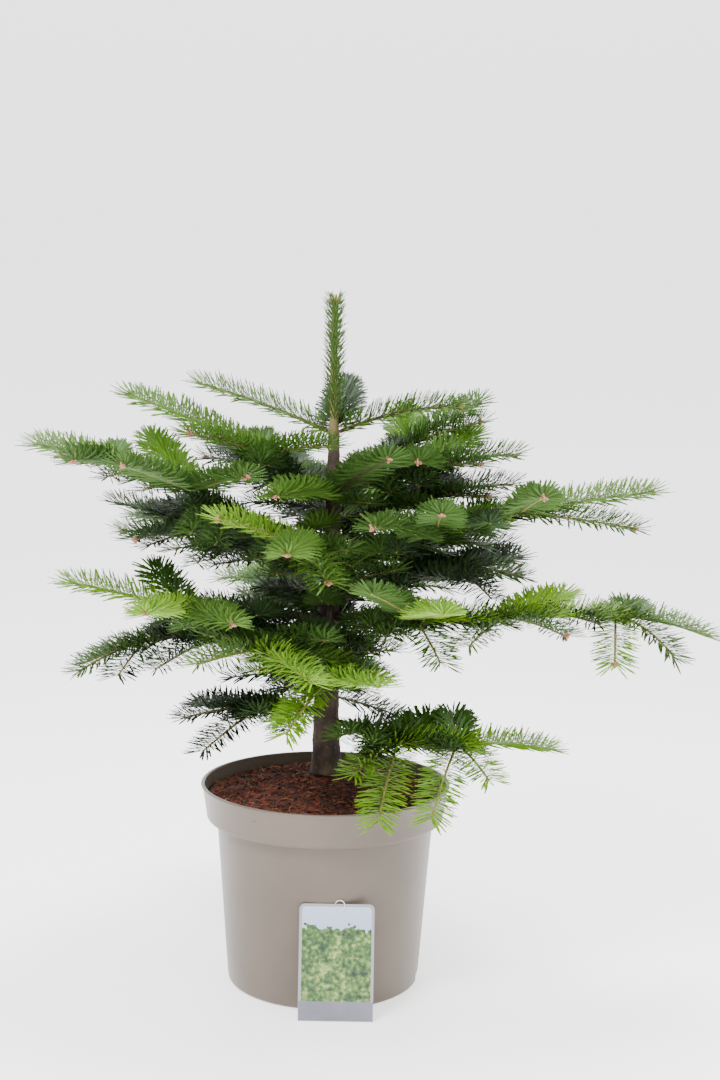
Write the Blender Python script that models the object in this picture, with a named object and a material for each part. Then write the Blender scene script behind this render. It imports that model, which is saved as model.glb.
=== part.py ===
"""A young fir in its nursery pot, for Blender 4.5.

Metres, +Z up. The origin is the middle of the pot's underside, +X is to the
right and +Y goes away from the side that is looked at. Each sub-part is one
closed solid: pot, soil, label, trunk, boughs of bare wood, and masses of
needles that grow on from them.
"""
import math
import random
from dataclasses import dataclass

import bmesh
import bpy
from mathutils import Matrix, Vector
from mathutils.bvhtree import BVHTree

# Driving sizes of the pot
POT_HEIGHT = 0.225
RIM_RADIUS = 0.140
FOOT_RADIUS = 0.108
BODY_TOP_RADIUS = 0.1215
BAND_HEIGHT = 0.038
WALL = 0.0026
LIP_WIDTH = 0.0042
LIP_HEIGHT = 0.0024
FOOT_ROUND = 0.004
FLOOR_THICK = 0.003
NOTCH_WIDTH = 0.056
NOTCH_DEPTH = 0.016
NOTCH_HEIGHT = 0.011
NOTCH_TURN = math.radians(-94)
NOTCH_COUNT = 4
POT_SIDES = 48

# Clearance between neighbouring solids
GAP = 0.0003

# Soil in the pot
SOIL_EDGE = 0.2105
SOIL_CROWN = 0.2280
SOIL_FLAT = 0.030
SOIL_RINGS = 4

# Plant label that leans on the pot
LABEL_WIDTH = 0.080
LABEL_HEIGHT = 0.124
LABEL_THICK = 0.0009
LABEL_X = 0.0165
LABEL_FOOT = 0.0180
LABEL_CORNER = 0.006
LABEL_HOLE = 0.0022
LABEL_HOLE_DROP = 0.006

# Trunk: where it stands, and its radius by height above the soil
TRUNK_Y = 0.030
TRUNK_LEAN = 0.0035
TRUNK_WAVE = 0.0014
TRUNK_BASE = SOIL_CROWN + GAP
TRUNK_TOP = 0.768
TRUNK_SIDES = 12
TRUNK_RADII = (
    (0.000, 0.0200),
    (0.006, 0.0182),
    (0.018, 0.0165),
    (0.045, 0.0152),
    (0.100, 0.0134),
    (0.180, 0.0112),
    (0.260, 0.0094),
    (0.330, 0.0076),
    (0.388, 0.0062),
    (0.400, 0.0050),
    (0.470, 0.0040),
    (0.536, 0.0031),
)
FLARE_LOBES = 5
FLARE_SHARE = 0.10
LEADER_FOOT = 0.628
LEADER_PITCH = 0.022
LEADER_REACH = 0.0088
LEADER_CORE = 0.0018
LEADER_RISE = 0.007
LEADER_TEETH = 6

# Bare limbs
LIMB_SIDES = 6
LIMB_STEPS = 5
LIMB_TAPER = 0.72

# Shoots with needles: each is a toothed blade on one core
STEM_RADIUS = 0.0020
MAIN_STEM = 1.35
SIDE_STEM = 1.10
FOOT_SHARE = 1.25
SHOOT_STEPS = 5
NEEDLE_REACH = 0.0235
NEEDLE_LEAN = 0.42
TOOTH_PITCH = 0.031
END_SHARE = 0.74
TIP_SHARE = 0.20
LAST_SPACE = 0.55

# Corners of a blade's section: angle, then share of the reach at a tooth and between teeth
SECTION = (
    (12.0, 1.00, 0.52),
    (90.0, 0.44, 0.80),
    (168.0, 1.00, 0.52),
    (270.0, 0.22, 0.26),
)

# How a blade is kept clear of its neighbours
CLEARANCE = 0.0004
SEAT_STEP = 0.0004
SEAT_TRIES = 40
SEAT_ROUNDS = 6
FACE_SAMPLES = 12
SHRINK = 0.55
SHRINK_ROUNDS = 8
MIN_SCALE = 0.12

# The rule for side shoots where the table lists none
FAN = 50.0
FAN_PLAY = 7.0
FAN_CLEAR = 55.0
SIDE_SHARE = (0.74, 0.92)
SIDE_DROP = (0.0, 8.0)


@dataclass(frozen=True)
class Shoot:
    """One year's growth: which way it leaves, how long, and how it bends."""

    azimuth: float
    lift: float
    length: float
    sag: float = 6.0


@dataclass(frozen=True)
class Bough:
    """A bough of the trunk: bare wood first, then growth with needles."""

    name: str
    height: float
    wood: Shoot | None
    growth: tuple
    sides: tuple = ()
    radius: float = 0.0036
    bare_steps: int = 3


def side(node, azimuth, lift, length, sag=8.0):
    """A side shoot that leaves the axis where a year's growth starts."""
    return node, Shoot(azimuth, lift, length, sag)


BOUGHS = (
    Bough("crown_left", 0.618, None, (Shoot(172, 24, 0.155, 10),)),
    Bough("crown_right", 0.618, None, (Shoot(347, 25, 0.140, 24),)),
    Bough("crown_back", 0.620, None, (Shoot(84, 28, 0.130, 14),)),
    Bough("upper_left", 0.552, Shoot(203, 32, 0.086, 6),
          (Shoot(154, 23, 0.185, 8),),
          (side(0, 223, 18, 0.103), side(0, 322, 12, 0.097), side(0, 96, 8, 0.110))),
    Bough("upper_front_right", 0.550, None, (Shoot(293, 24, 0.150, 12),)),
    Bough("upper_front_left", 0.541, None, (Shoot(249, 16, 0.150, 20),)),
    Bough("upper_right", 0.552, Shoot(354, 20, 0.100, 6),
          (Shoot(4, 16, 0.101, 16),),
          (side(0, 263, 10, 0.112), side(0, 58, 20, 0.112))),
    Bough("upper_back_right", 0.556, Shoot(41, 26, 0.110, 4),
          (Shoot(36, 26, 0.119, 4),)),
    Bough("upper_back_left", 0.546, Shoot(128, 18, 0.095, 6),
          (Shoot(132, 12, 0.120),)),
    Bough("middle_left", 0.478, Shoot(202, 29, 0.170, 6),
          (Shoot(173, 22, 0.092, 6), Shoot(154, 14, 0.103, 10)),
          (side(0, 241, 20, 0.126), side(0, 304, 16, 0.123), side(0, 117, 26, 0.135),
           side(1, 246, 8, 0.076), side(1, 205, 12, 0.058)), 0.0050),
    Bough("middle_left_low", 0.464, Shoot(186, 22, 0.140, 8),
          (Shoot(180, 22, 0.104, 12),),
          (side(0, 232, 2, 0.105), side(0, 132, 12, 0.100), side(0, 206, -10, 0.068))),
    Bough("middle_right", 0.478, Shoot(330, 18, 0.126, 2),
          (Shoot(341, 16, 0.095, 4), Shoot(17, 12, 0.157, 8)),
          (side(0, 270, 18, 0.120), side(0, 236, 10, 0.125), side(0, 48, 12, 0.105),
           side(1, 277, 18, 0.112), side(1, 338, 0, 0.125), side(1, 64, 8, 0.090)), 0.0050, 4),
    Bough("middle_right_high", 0.518, Shoot(14, 18, 0.100, 6),
          (Shoot(8, 16, 0.105, 16),),
          (side(0, 326, 8, 0.085), side(0, 66, 10, 0.095))),
    Bough("middle_right_low", 0.440, Shoot(352, 14, 0.130, 4),
          (Shoot(350, 8, 0.079, 24),),
          (side(0, 298, -4, 0.085, 22), side(0, 40, 8, 0.100))),
    Bough("middle_front", 0.478, Shoot(255, 14, 0.100, 2),
          (Shoot(264, 6, 0.118, 8),),
          (side(0, 292, -18, 0.080), side(0, 213, 22, 0.108))),
    Bough("middle_back", 0.486, Shoot(84, 18, 0.150, 8),
          (Shoot(88, 14, 0.090), Shoot(80, 10, 0.105))),
    Bough("middle_back_left", 0.455, Shoot(144, 16, 0.150, 8),
          (Shoot(146, 12, 0.140, 10),)),
    Bough("middle_back_right", 0.462, Shoot(38, 14, 0.130, 8),
          (Shoot(33, 12, 0.125, 10),)),
    Bough("lower_left", 0.408, Shoot(206, 8, 0.160, 6),
          (Shoot(172, 17, 0.136, 10),),
          (side(0, 257, 12, 0.130), side(0, 294, 8, 0.150), side(0, 128, 34, 0.078)), 0.0048),
    Bough("lower_left_low", 0.384, Shoot(192, 4, 0.115, 4),
          (Shoot(196, 2, 0.080, 6), Shoot(212, -12, 0.085, 16)),
          (side(0, 232, -10, 0.100), side(0, 140, 0, 0.100), side(1, 246, -24, 0.065))),
    Bough("lower_left_front", 0.402, Shoot(243, 0, 0.145, 6),
          (Shoot(302, -2, 0.114, 12),),
          (side(0, 226, 0, 0.085),)),
    Bough("lower_right", 0.410, Shoot(315, 8, 0.125, 6),
          (Shoot(6, 3, 0.098, 2), Shoot(9, 4, 0.122, 6), Shoot(15, -5, 0.114, 18)),
          (side(0, 243, 25, 0.118), side(0, 281, 16, 0.122), side(0, 300, -34, 0.062),
           side(1, 312, 2, 0.085, 16), side(1, 228, -10, 0.070, 20), side(1, 50, 10, 0.115),
           side(2, 262, -22, 0.075, 30), side(2, 322, -8, 0.085, 40), side(2, 66, 0, 0.080)),
          0.0048),
    Bough("lower_front", 0.420, Shoot(270, -20, 0.132, 14),
          (Shoot(232, -30, 0.080, 12),),
          (side(0, 305, 10, 0.098),), 0.0028),
    Bough("lower_back_right", 0.425, Shoot(48, 10, 0.150, 6),
          (Shoot(44, 8, 0.140, 10),)),
    Bough("lower_back", 0.395, Shoot(104, 8, 0.160, 6),
          (Shoot(108, 6, 0.095, 6), Shoot(112, 2, 0.100, 10))),
    Bough("base_left", 0.302, Shoot(205, 8, 0.070, 6),
          (Shoot(196, 6, 0.084, 22),),
          (side(0, 226, -20, 0.088), side(0, 146, 0, 0.085))),
    Bough("base_right", 0.289, Shoot(312, 4, 0.104, 14),
          (Shoot(352, 6, 0.066, 6), Shoot(14, 0, 0.108, 12)),
          (side(0, 258, -22, 0.116, 20), side(0, 226, -12, 0.072, 14), side(0, 62, 12, 0.085),
           side(1, 251, -22, 0.112, 20), side(1, 302, -18, 0.065, 14), side(1, 92, 14, 0.075)),
          0.0040),
    Bough("base_back", 0.312, Shoot(98, 8, 0.120, 6),
          (Shoot(90, 4, 0.115, 12),)),
)


def clear_scene():
    """Remove what a new file starts with."""
    for thing in list(bpy.data.objects):
        bpy.data.objects.remove(thing, do_unlink=True)


def make_material(name, colour, roughness, metallic=0.0):
    """A plain Principled finish."""
    material = bpy.data.materials.new(name)
    material.use_nodes = True
    shader = material.node_tree.nodes["Principled BSDF"]
    shader.inputs["Base Color"].default_value = (*colour, 1.0)
    shader.inputs["Roughness"].default_value = roughness
    shader.inputs["Metallic"].default_value = metallic
    return material


def make_object(name, verts, faces, material, smooth_angle=None):
    """An object from plain vertex and face lists."""
    mesh = bpy.data.meshes.new(name)
    mesh.from_pydata([tuple(v) for v in verts], [], faces)
    mesh.materials.append(material)
    mesh.update()
    thing = bpy.data.objects.new(name, mesh)
    bpy.context.scene.collection.objects.link(thing)
    if smooth_angle is not None:
        mesh.shade_smooth()
        mesh.set_sharp_from_angle(angle=math.radians(smooth_angle))
    return thing


def turned(profile, sides):
    """Vertices and faces of a profile turned about Z, from axis to axis."""
    verts = []
    rings = []
    for radius, height in profile:
        if radius == 0.0:
            rings.append([len(verts)])
            verts.append(Vector((0.0, 0.0, height)))
            continue
        ring = []
        for k in range(sides):
            angle = math.tau * k / sides
            ring.append(len(verts))
            verts.append(Vector((radius * math.cos(angle), radius * math.sin(angle), height)))
        rings.append(ring)
    faces = []
    for low, high in zip(rings, rings[1:]):
        for k in range(sides):
            after = (k + 1) % sides
            if len(low) == 1:
                faces.append((low[0], high[after], high[k]))
            elif len(high) == 1:
                faces.append((low[k], low[after], high[0]))
            else:
                faces.append((low[k], low[after], high[after], high[k]))
    return verts, faces


def apply_modifiers(thing):
    """Keep the evaluated mesh and drop the modifiers."""
    graph = bpy.context.evaluated_depsgraph_get()
    mesh = bpy.data.meshes.new_from_object(thing.evaluated_get(graph))
    old = thing.data
    thing.modifiers.clear()
    thing.data = mesh
    bpy.data.meshes.remove(old)


def cut(thing, cutters, operation="DIFFERENCE"):
    """Cut one object by others, then remove them."""
    for cutter in cutters:
        modifier = thing.modifiers.new("cut", "BOOLEAN")
        modifier.operation = operation
        modifier.solver = "EXACT"
        modifier.object = cutter
    apply_modifiers(thing)
    for cutter in cutters:
        bpy.data.objects.remove(cutter, do_unlink=True)


def body_radius(height):
    """Outer radius of the pot's body, below its rim band."""
    return FOOT_RADIUS + (BODY_TOP_RADIUS - FOOT_RADIUS) * height / (POT_HEIGHT - BAND_HEIGHT)


def notch_blocks(grow, name):
    """Blocks that stand where the drain notches go, larger by grow all round."""
    blocks = []
    half = Vector((NOTCH_DEPTH + grow, NOTCH_WIDTH / 2 + grow, NOTCH_HEIGHT + grow))
    for k in range(NOTCH_COUNT):
        angle = NOTCH_TURN + math.tau * k / NOTCH_COUNT
        shape = bmesh.new()
        bmesh.ops.create_cube(shape, size=2.0)
        place = Matrix.Rotation(angle, 4, "Z") @ Matrix.Translation((FOOT_RADIUS, 0.0, 0.0))
        bmesh.ops.transform(shape, matrix=place @ Matrix.Diagonal((*half, 1.0)), verts=shape.verts)
        mesh = bpy.data.meshes.new(f"{name}_{k}")
        shape.to_mesh(mesh)
        shape.free()
        block = bpy.data.objects.new(mesh.name, mesh)
        bpy.context.scene.collection.objects.link(block)
        blocks.append(block)
    return blocks


def build_pot(material):
    """The nursery pot: tapered wall, stepped rim band, lip and notched foot."""
    band_foot = POT_HEIGHT - BAND_HEIGHT
    band_radius = RIM_RADIUS - 0.0065
    outside = [
        (0.0, 0.0),
        (FOOT_RADIUS - FOOT_ROUND, 0.0),
        (FOOT_RADIUS - FOOT_ROUND * 0.3, FOOT_ROUND * 0.3),
        (body_radius(FOOT_ROUND), FOOT_ROUND),
        (BODY_TOP_RADIUS, band_foot - 0.004),
        (band_radius - 0.004, band_foot),
        (band_radius, band_foot + 0.004),
        (RIM_RADIUS - LIP_WIDTH + WALL, POT_HEIGHT - LIP_HEIGHT),
        (RIM_RADIUS, POT_HEIGHT - LIP_HEIGHT),
        (RIM_RADIUS, POT_HEIGHT),
        (RIM_RADIUS - LIP_WIDTH, POT_HEIGHT),
        (0.0, POT_HEIGHT),
    ]
    pot = make_object("pot", *turned(outside, POT_SIDES), material, 40)
    cut(pot, notch_blocks(0.0, "notch"))
    hollow = make_object("hollow", *turned(inner_profile(0.0, POT_HEIGHT + 0.01), POT_SIDES), material)
    cut(hollow, notch_blocks(WALL, "pocket"))
    cut(pot, [hollow])
    pot.data.shade_smooth()
    pot.data.set_sharp_from_angle(angle=math.radians(40))
    return pot


def inner_profile(gap, top):
    """The pot's inner wall, drawn in by gap, up to a height."""
    band_foot = POT_HEIGHT - BAND_HEIGHT
    lip_inner = RIM_RADIUS - LIP_WIDTH
    shoulder = BODY_TOP_RADIUS - WALL
    profile = [
        (0.0, FLOOR_THICK + gap),
        (body_radius(FLOOR_THICK) - WALL - gap, FLOOR_THICK + gap),
        (shoulder - gap, band_foot),
        (lip_inner - 0.006 - gap, band_foot + 0.006),
        (lip_inner - gap, POT_HEIGHT - 0.006),
    ]
    if top > POT_HEIGHT:
        return profile + [(lip_inner, top), (0.0, top)]
    low_radius, low = profile[-2]
    high_radius, high = profile[-1]
    share = (top - low) / (high - low)
    return profile[:-1] + [(low_radius + (high_radius - low_radius) * share, top)]


def build_soil(material):
    """Soil that fills the pot, highest where the trunk stands."""
    profile = inner_profile(GAP, SOIL_EDGE)
    edge = profile[-1][0]
    for k in range(1, SOIL_RINGS + 1):
        share = k / SOIL_RINGS
        radius = edge + (SOIL_FLAT - edge) * share
        rise = 0.5 - 0.5 * math.cos(math.pi * share)
        profile.append((radius, SOIL_EDGE + (SOIL_CROWN - SOIL_EDGE) * rise))
    profile.append((0.0, SOIL_CROWN))
    verts, faces = turned(profile, POT_SIDES)
    for vert in verts:
        if vert.z > SOIL_EDGE:
            share = min(1.0, (vert.z - SOIL_EDGE) / (SOIL_CROWN - SOIL_EDGE))
            vert.y += TRUNK_Y * share
    soil = make_object("soil", verts, faces, material, 40)
    cut(soil, notch_blocks(WALL + GAP, "pocket"))
    return soil


def build_label(material):
    """The plant label: a thin card with round top corners and a small hole."""
    outline = []
    for corner_x, turn in ((1, 0.0), (-1, 90.0)):
        for step in range(4):
            angle = math.radians(turn + 30.0 * step)
            x = corner_x * (LABEL_WIDTH / 2 - LABEL_CORNER) + LABEL_CORNER * math.cos(angle)
            z = LABEL_HEIGHT - LABEL_CORNER + LABEL_CORNER * math.sin(angle)
            outline.append((x, z))
    outline.append((-LABEL_WIDTH / 2, 0.0))
    outline.append((LABEL_WIDTH / 2, 0.0))
    count = len(outline)
    verts = [Vector((x, 0.0, z)) for x, z in outline]
    verts += [Vector((x, LABEL_THICK, z)) for x, z in outline]
    faces = [tuple(range(count)), tuple(reversed(range(count, 2 * count)))]
    for k in range(count):
        after = (k + 1) % count
        faces.append((after, k, k + count, after + count))
    label = make_object("plant_label", verts, faces, material, 30)
    shape = bmesh.new()
    bmesh.ops.create_cone(shape, cap_ends=True, segments=10, radius1=LABEL_HOLE,
                          radius2=LABEL_HOLE, depth=0.01)
    place = Matrix.Translation((0.0, 0.0, LABEL_HEIGHT - LABEL_HOLE_DROP))
    bmesh.ops.transform(shape, matrix=place @ Matrix.Rotation(math.pi / 2, 4, "X"), verts=shape.verts)
    mesh = bpy.data.meshes.new("hole")
    shape.to_mesh(mesh)
    shape.free()
    hole = bpy.data.objects.new("hole", mesh)
    bpy.context.scene.collection.objects.link(hole)
    cut(label, [hole])
    lean = math.asin(LABEL_FOOT / LABEL_HEIGHT)
    top = LABEL_HEIGHT * math.cos(lean)
    wall_slope = (BODY_TOP_RADIUS - FOOT_RADIUS) / (POT_HEIGHT - BAND_HEIGHT)
    back = -body_radius(top) - LABEL_THICK * (1 + wall_slope) - GAP
    place = Matrix.Translation((LABEL_X, back - LABEL_FOOT, LABEL_THICK * math.sin(lean)))
    label.data.transform(place @ Matrix.Rotation(-lean, 4, "X"))
    return label


def trunk_radius(height):
    """Radius of the trunk at a height above the pot's underside."""
    above = max(0.0, height - TRUNK_BASE)
    for (low, r_low), (high, r_high) in zip(TRUNK_RADII, TRUNK_RADII[1:]):
        if above <= high:
            return r_low + (r_high - r_low) * (above - low) / (high - low)
    return TRUNK_RADII[-1][1]


def trunk_axis(height):
    """Middle of the trunk at a height: almost upright, with a slight wave."""
    share = (height - TRUNK_BASE) / (TRUNK_TOP - TRUNK_BASE)
    wave = TRUNK_WAVE * math.sin(math.tau * 1.3 * share)
    return Vector((TRUNK_LEAN * share - wave, TRUNK_Y + wave * 0.6, height))


def build_trunk(material):
    """The trunk, from its flat cut at the soil to its tip."""
    verts = []
    faces = []
    for above, radius in TRUNK_RADII:
        height = TRUNK_BASE + above
        middle = trunk_axis(height)
        lobe = FLARE_SHARE * math.exp(-above / 0.012)
        for k in range(TRUNK_SIDES):
            angle = math.tau * k / TRUNK_SIDES
            reach = radius * (1.0 + lobe * math.cos(FLARE_LOBES * angle))
            verts.append(middle + Vector((reach * math.cos(angle), reach * math.sin(angle), 0.0)))
    rings = len(TRUNK_RADII)
    for row in range(rings - 1):
        for k in range(TRUNK_SIDES):
            after = (k + 1) % TRUNK_SIDES
            low = row * TRUNK_SIDES
            high = low + TRUNK_SIDES
            faces.append((low + k, low + after, high + after, high + k))
    faces.append(tuple(reversed(range(TRUNK_SIDES))))
    last = (rings - 1) * TRUNK_SIDES
    top = len(verts)
    verts.append(trunk_axis(TRUNK_BASE + TRUNK_RADII[-1][0]) + Vector((0.0, 0.0, 0.004)))
    for k in range(TRUNK_SIDES):
        faces.append((last + k, last + (k + 1) % TRUNK_SIDES, top))
    return make_object("trunk", verts, faces, material, 50)


def course(start, shoot, steps):
    """Points along a shoot that bends from its first lift down by its sag."""
    points = [Vector(start)]
    for step in range(steps):
        lift = math.radians(shoot.lift - shoot.sag * (step + 0.5) / steps)
        turn = math.radians(shoot.azimuth)
        heading = Vector((math.cos(lift) * math.cos(turn), math.cos(lift) * math.sin(turn),
                          math.sin(lift)))
        points.append(points[-1] + heading * (shoot.length / steps))
    return points


def frames(points):
    """A forward, side and up direction at each point of a path."""
    result = []
    last = len(points) - 1
    for k in range(len(points)):
        forward = (points[min(k + 1, last)] - points[max(k - 1, 0)]).normalized()
        across = Vector((0.0, 0.0, 1.0)).cross(forward)
        if across.length < 1e-4:
            across = Vector((1.0, 0.0, 0.0))
        across.normalize()
        result.append((forward, across, forward.cross(across)))
    return result


def along(points, share):
    """The point at a share of a path's length."""
    total = share * (len(points) - 1)
    k = min(int(total), len(points) - 2)
    return points[k].lerp(points[k + 1], total - k)


def tapered_tube(points, radius_foot, radius_tip, sides):
    """Vertices and faces of a tapering limb along a path."""
    verts = []
    faces = []
    last = len(points) - 1
    for k, (point, (forward, across, up)) in enumerate(zip(points, frames(points))):
        radius = radius_foot + (radius_tip - radius_foot) * k / last
        for j in range(sides):
            angle = math.tau * j / sides
            verts.append(point + (across * math.cos(angle) + up * math.sin(angle)) * radius)
    for row in range(last):
        for j in range(sides):
            after = (j + 1) % sides
            low = row * sides
            high = low + sides
            faces.append((low + j, low + after, high + after, high + j))
    faces.append(tuple(reversed(range(sides))))
    faces.append(tuple(range(last * sides, (last + 1) * sides)))
    return verts, faces


class Spray:
    """A shoot with its needles: a toothed blade round one core."""

    def __init__(self, points, core):
        self.points = points
        self.core = core
        self.scale = {}
        length = sum((b - a).length for a, b in zip(points, points[1:]))
        self.rings = 2 * max(2, round(length / TOOTH_PITCH)) + 1

    def corner_reach(self, ring, corner, bare):
        """How far a corner of a ring stands out of the shoot's middle."""
        foot = self.core * FOOT_SHARE
        if bare or ring == 0:
            return foot
        _, at_tooth, between = SECTION[corner]
        share = at_tooth if ring % 2 == 1 else between
        swell = math.sin(math.pi * min(1.0, 1.25 * ring / self.rings + 0.15))
        full = NEEDLE_REACH * share * (END_SHARE + (1.0 - END_SHARE) * swell)
        return max(foot, full * self.scale.get((ring, corner), 1.0))

    def mesh(self, extra=0.0, bare=False):
        """Vertices and faces, larger all round by extra, with or without its needles."""
        verts = []
        faces = []
        spaces = self.rings + LAST_SPACE
        stations = [along(self.points, ring / spaces) for ring in range(self.rings + 1)]
        for ring, (point, (forward, across, up)) in enumerate(zip(stations, frames(stations))):
            for corner, (degrees, _, _) in enumerate(SECTION):
                angle = math.radians(degrees)
                out = self.corner_reach(ring, corner, bare)
                lean = (out - self.core * FOOT_SHARE) * NEEDLE_LEAN
                spoke = across * math.cos(angle) + up * math.sin(angle)
                verts.append(point + spoke * (out + extra) + forward * lean)
        tip = len(verts)
        verts.append(self.points[-1] + forward * (NEEDLE_REACH * TIP_SHARE + extra))
        count = len(SECTION)
        for ring in range(self.rings):
            for corner in range(count):
                after = (corner + 1) % count
                low = ring * count
                high = low + count
                faces.append((low + corner, low + after, high + after))
                faces.append((low + corner, high + after, high + corner))
        last = self.rings * count
        for corner in range(count):
            faces.append((last + corner, last + (corner + 1) % count, tip))
        for corner in range(1, count - 1):
            faces.append((0, corner + 1, corner))
        return verts, faces

    def corners_of(self, face):
        """The corners that a face lies between."""
        count = len(SECTION)
        ring, corner = divmod(face // 2, count)
        return [(near, spot) for near in (ring, ring + 1) for spot in (corner, (corner + 1) % count)]

    def struck(self, obstacles, extra, bare=False):
        """The faces that touch a neighbour."""
        tree = BVHTree.FromPolygons(*self.mesh(extra, bare))
        found = set()
        for obstacle in obstacles:
            found.update(pair[0] for pair in tree.overlap(obstacle))
        return found

    def fit(self, obstacles):
        """Shorten the needles that touch a neighbour; say if the rest is clear."""
        for _ in range(SHRINK_ROUNDS):
            found = self.struck(obstacles, CLEARANCE)
            if not found:
                return True
            changed = False
            for spot in {spot for face in found for spot in self.corners_of(face)}:
                size = self.scale.get(spot, 1.0)
                if size > MIN_SCALE:
                    self.scale[spot] = size * SHRINK
                    changed = True
            if not changed:
                return False
        return False


def join(name, sprays, material):
    """One closed solid from the sprays of a mass."""
    group = bpy.data.collections.new(name)
    pieces = []
    for k, (verts, faces) in enumerate(sprays):
        piece = make_object(f"{name}_{k}", verts, faces, material)
        pieces.append(piece)
    whole = pieces[0]
    for piece in pieces[1:]:
        group.objects.link(piece)
    if len(pieces) > 1:
        modifier = whole.modifiers.new("join", "BOOLEAN")
        modifier.operation = "UNION"
        modifier.solver = "MANIFOLD"
        modifier.operand_type = "COLLECTION"
        modifier.collection = group
        apply_modifiers(whole)
    for piece in pieces[1:]:
        bpy.data.objects.remove(piece, do_unlink=True)
    bpy.data.collections.remove(group)
    whole.name = name
    whole.data.name = name
    return whole


def leader_mass(material):
    """Needles round the trunk's top shoot, as a toothed sleeve clear of it."""
    low = LEADER_FOOT
    high = TRUNK_BASE + TRUNK_RADII[-1][0] - 0.002
    rings = 2 * round((high - low) / LEADER_PITCH)
    corners = 2 * LEADER_TEETH
    verts = []
    faces = []
    for outer in (True, False):
        for ring in range(rings + 1):
            height = low + (high - low) * ring / rings
            middle = trunk_axis(height)
            clear = (trunk_radius(height - LEADER_PITCH / 2) + GAP) / math.cos(math.pi / TRUNK_SIDES)
            for corner in range(corners):
                angle = math.tau * corner / corners
                tooth = 0 < ring < rings and (ring + corner // 2) % 2 == 1 and corner % 2 == 0
                reach = clear
                rise = 0.0
                if outer:
                    reach += LEADER_REACH if tooth else LEADER_CORE
                    rise = LEADER_RISE if tooth else 0.0
                spoke = Vector((math.cos(angle) * reach, math.sin(angle) * reach, rise))
                verts.append(middle + spoke)
    shift = (rings + 1) * corners
    for ring in range(rings):
        for corner in range(corners):
            after = (corner + 1) % corners
            low_ring = ring * corners
            high_ring = low_ring + corners
            faces.append((low_ring + corner, low_ring + after, high_ring + after))
            faces.append((low_ring + corner, high_ring + after, high_ring + corner))
            faces.append((shift + low_ring + after, shift + low_ring + corner, shift + high_ring + after))
            faces.append((shift + high_ring + after, shift + low_ring + corner, shift + high_ring + corner))
    top = rings * corners
    for corner in range(corners):
        after = (corner + 1) % corners
        faces.append((corner, shift + corner, shift + after, after))
        faces.append((top + corner, top + after, shift + top + after, shift + top + corner))
    return make_object("leader_needles", verts, faces, material)


def seat_on_trunk(bough, trunk_tree):
    """Where a bough leaves the trunk: its foot face just clear of the bark."""
    first = bough.wood or bough.growth[0]
    radius = bough.radius if bough.wood else STEM_RADIUS * MAIN_STEM * FOOT_SHARE
    turn = math.radians(first.azimuth)
    out = Vector((math.cos(turn), math.sin(turn), 0.0))
    start = trunk_axis(bough.height) + out * (trunk_radius(bough.height) + radius)
    for _ in range(SEAT_ROUNDS):
        _, across, up = frames(course(start, first, LIMB_STEPS))[0]
        face = [start]
        for share in (0.5, 1.0):
            for k in range(FACE_SAMPLES):
                angle = math.tau * k / FACE_SAMPLES
                face.append(start + (across * math.cos(angle) + up * math.sin(angle)) * radius * share)
        start -= out * (min(trunk_tree.find_nearest(point)[3] for point in face) - GAP)
    return start


def object_tree(thing):
    """A search tree of an object's mesh."""
    verts = [vert.co.copy() for vert in thing.data.vertices]
    faces = [tuple(face.vertices) for face in thing.data.polygons]
    return BVHTree.FromPolygons(verts, faces)


def turn_between(first, second):
    """The angle between two azimuths, without its sign."""
    return abs((first - second + 180.0) % 360.0 - 180.0)


def ruled_sides(bough):
    """Side shoots to the left and right of each year's growth that has none listed there."""
    dice = random.Random(bough.name)
    found = []
    for node, shoot in enumerate(bough.growth):
        if node == 0 and not bough.wood:
            continue
        listed = [other.azimuth for at, other in bough.sides if at == node]
        for turn in (FAN, -FAN):
            azimuth = shoot.azimuth + turn + dice.uniform(-FAN_PLAY, FAN_PLAY)
            lift = shoot.lift - dice.uniform(*SIDE_DROP)
            length = shoot.length * dice.uniform(*SIDE_SHARE)
            if all(turn_between(azimuth, other) > FAN_CLEAR for other in listed):
                found.append(side(node, azimuth, lift, length))
    return found


def lay_out(bough, trunk_tree):
    """The courses of a bough: bare limb, axis from its first needles, side shoots."""
    start = seat_on_trunk(bough, trunk_tree)
    limb = None
    axis = []
    if bough.wood:
        wood = course(start, bough.wood, LIMB_STEPS)
        limb = wood[:bough.bare_steps + 1]
        if bough.bare_steps < LIMB_STEPS:
            axis.append(wood[bough.bare_steps:])
        start = wood[-1]
    first = len(axis)
    for shoot in bough.growth:
        path = course(start, shoot, SHOOT_STEPS)
        axis.append(path)
        start = path[-1]
    sides = []
    for node, shoot in (*bough.sides, *ruled_sides(bough)):
        sides.append((first + node, course(axis[first + node][0], shoot, SHOOT_STEPS)))
    return limb, axis, sides


def seat_stem(path, neighbours):
    """The first blade of a mass, its foot drawn back until the bare stem is just clear."""
    heading = (path[1] - path[0]).normalized()
    for step in range(SEAT_TRIES):
        spray = Spray([path[0] + heading * (step * SEAT_STEP), *path[1:]], STEM_RADIUS * MAIN_STEM)
        if not spray.struck(neighbours, CLEARANCE, bare=True):
            return spray
    raise ValueError("a stem has no clear seat")


def seat_side(path, axis, neighbours):
    """A side blade that starts on the axis, as near its node as the bare stem is clear."""
    stretch = axis[1] - axis[0]
    for step in range(int(stretch.length / SEAT_STEP)):
        shift = stretch.normalized() * (step * SEAT_STEP)
        spray = Spray([point + shift for point in path], STEM_RADIUS * SIDE_STEM)
        if not spray.struck(neighbours, CLEARANCE, bare=True):
            return spray
    return None


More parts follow.
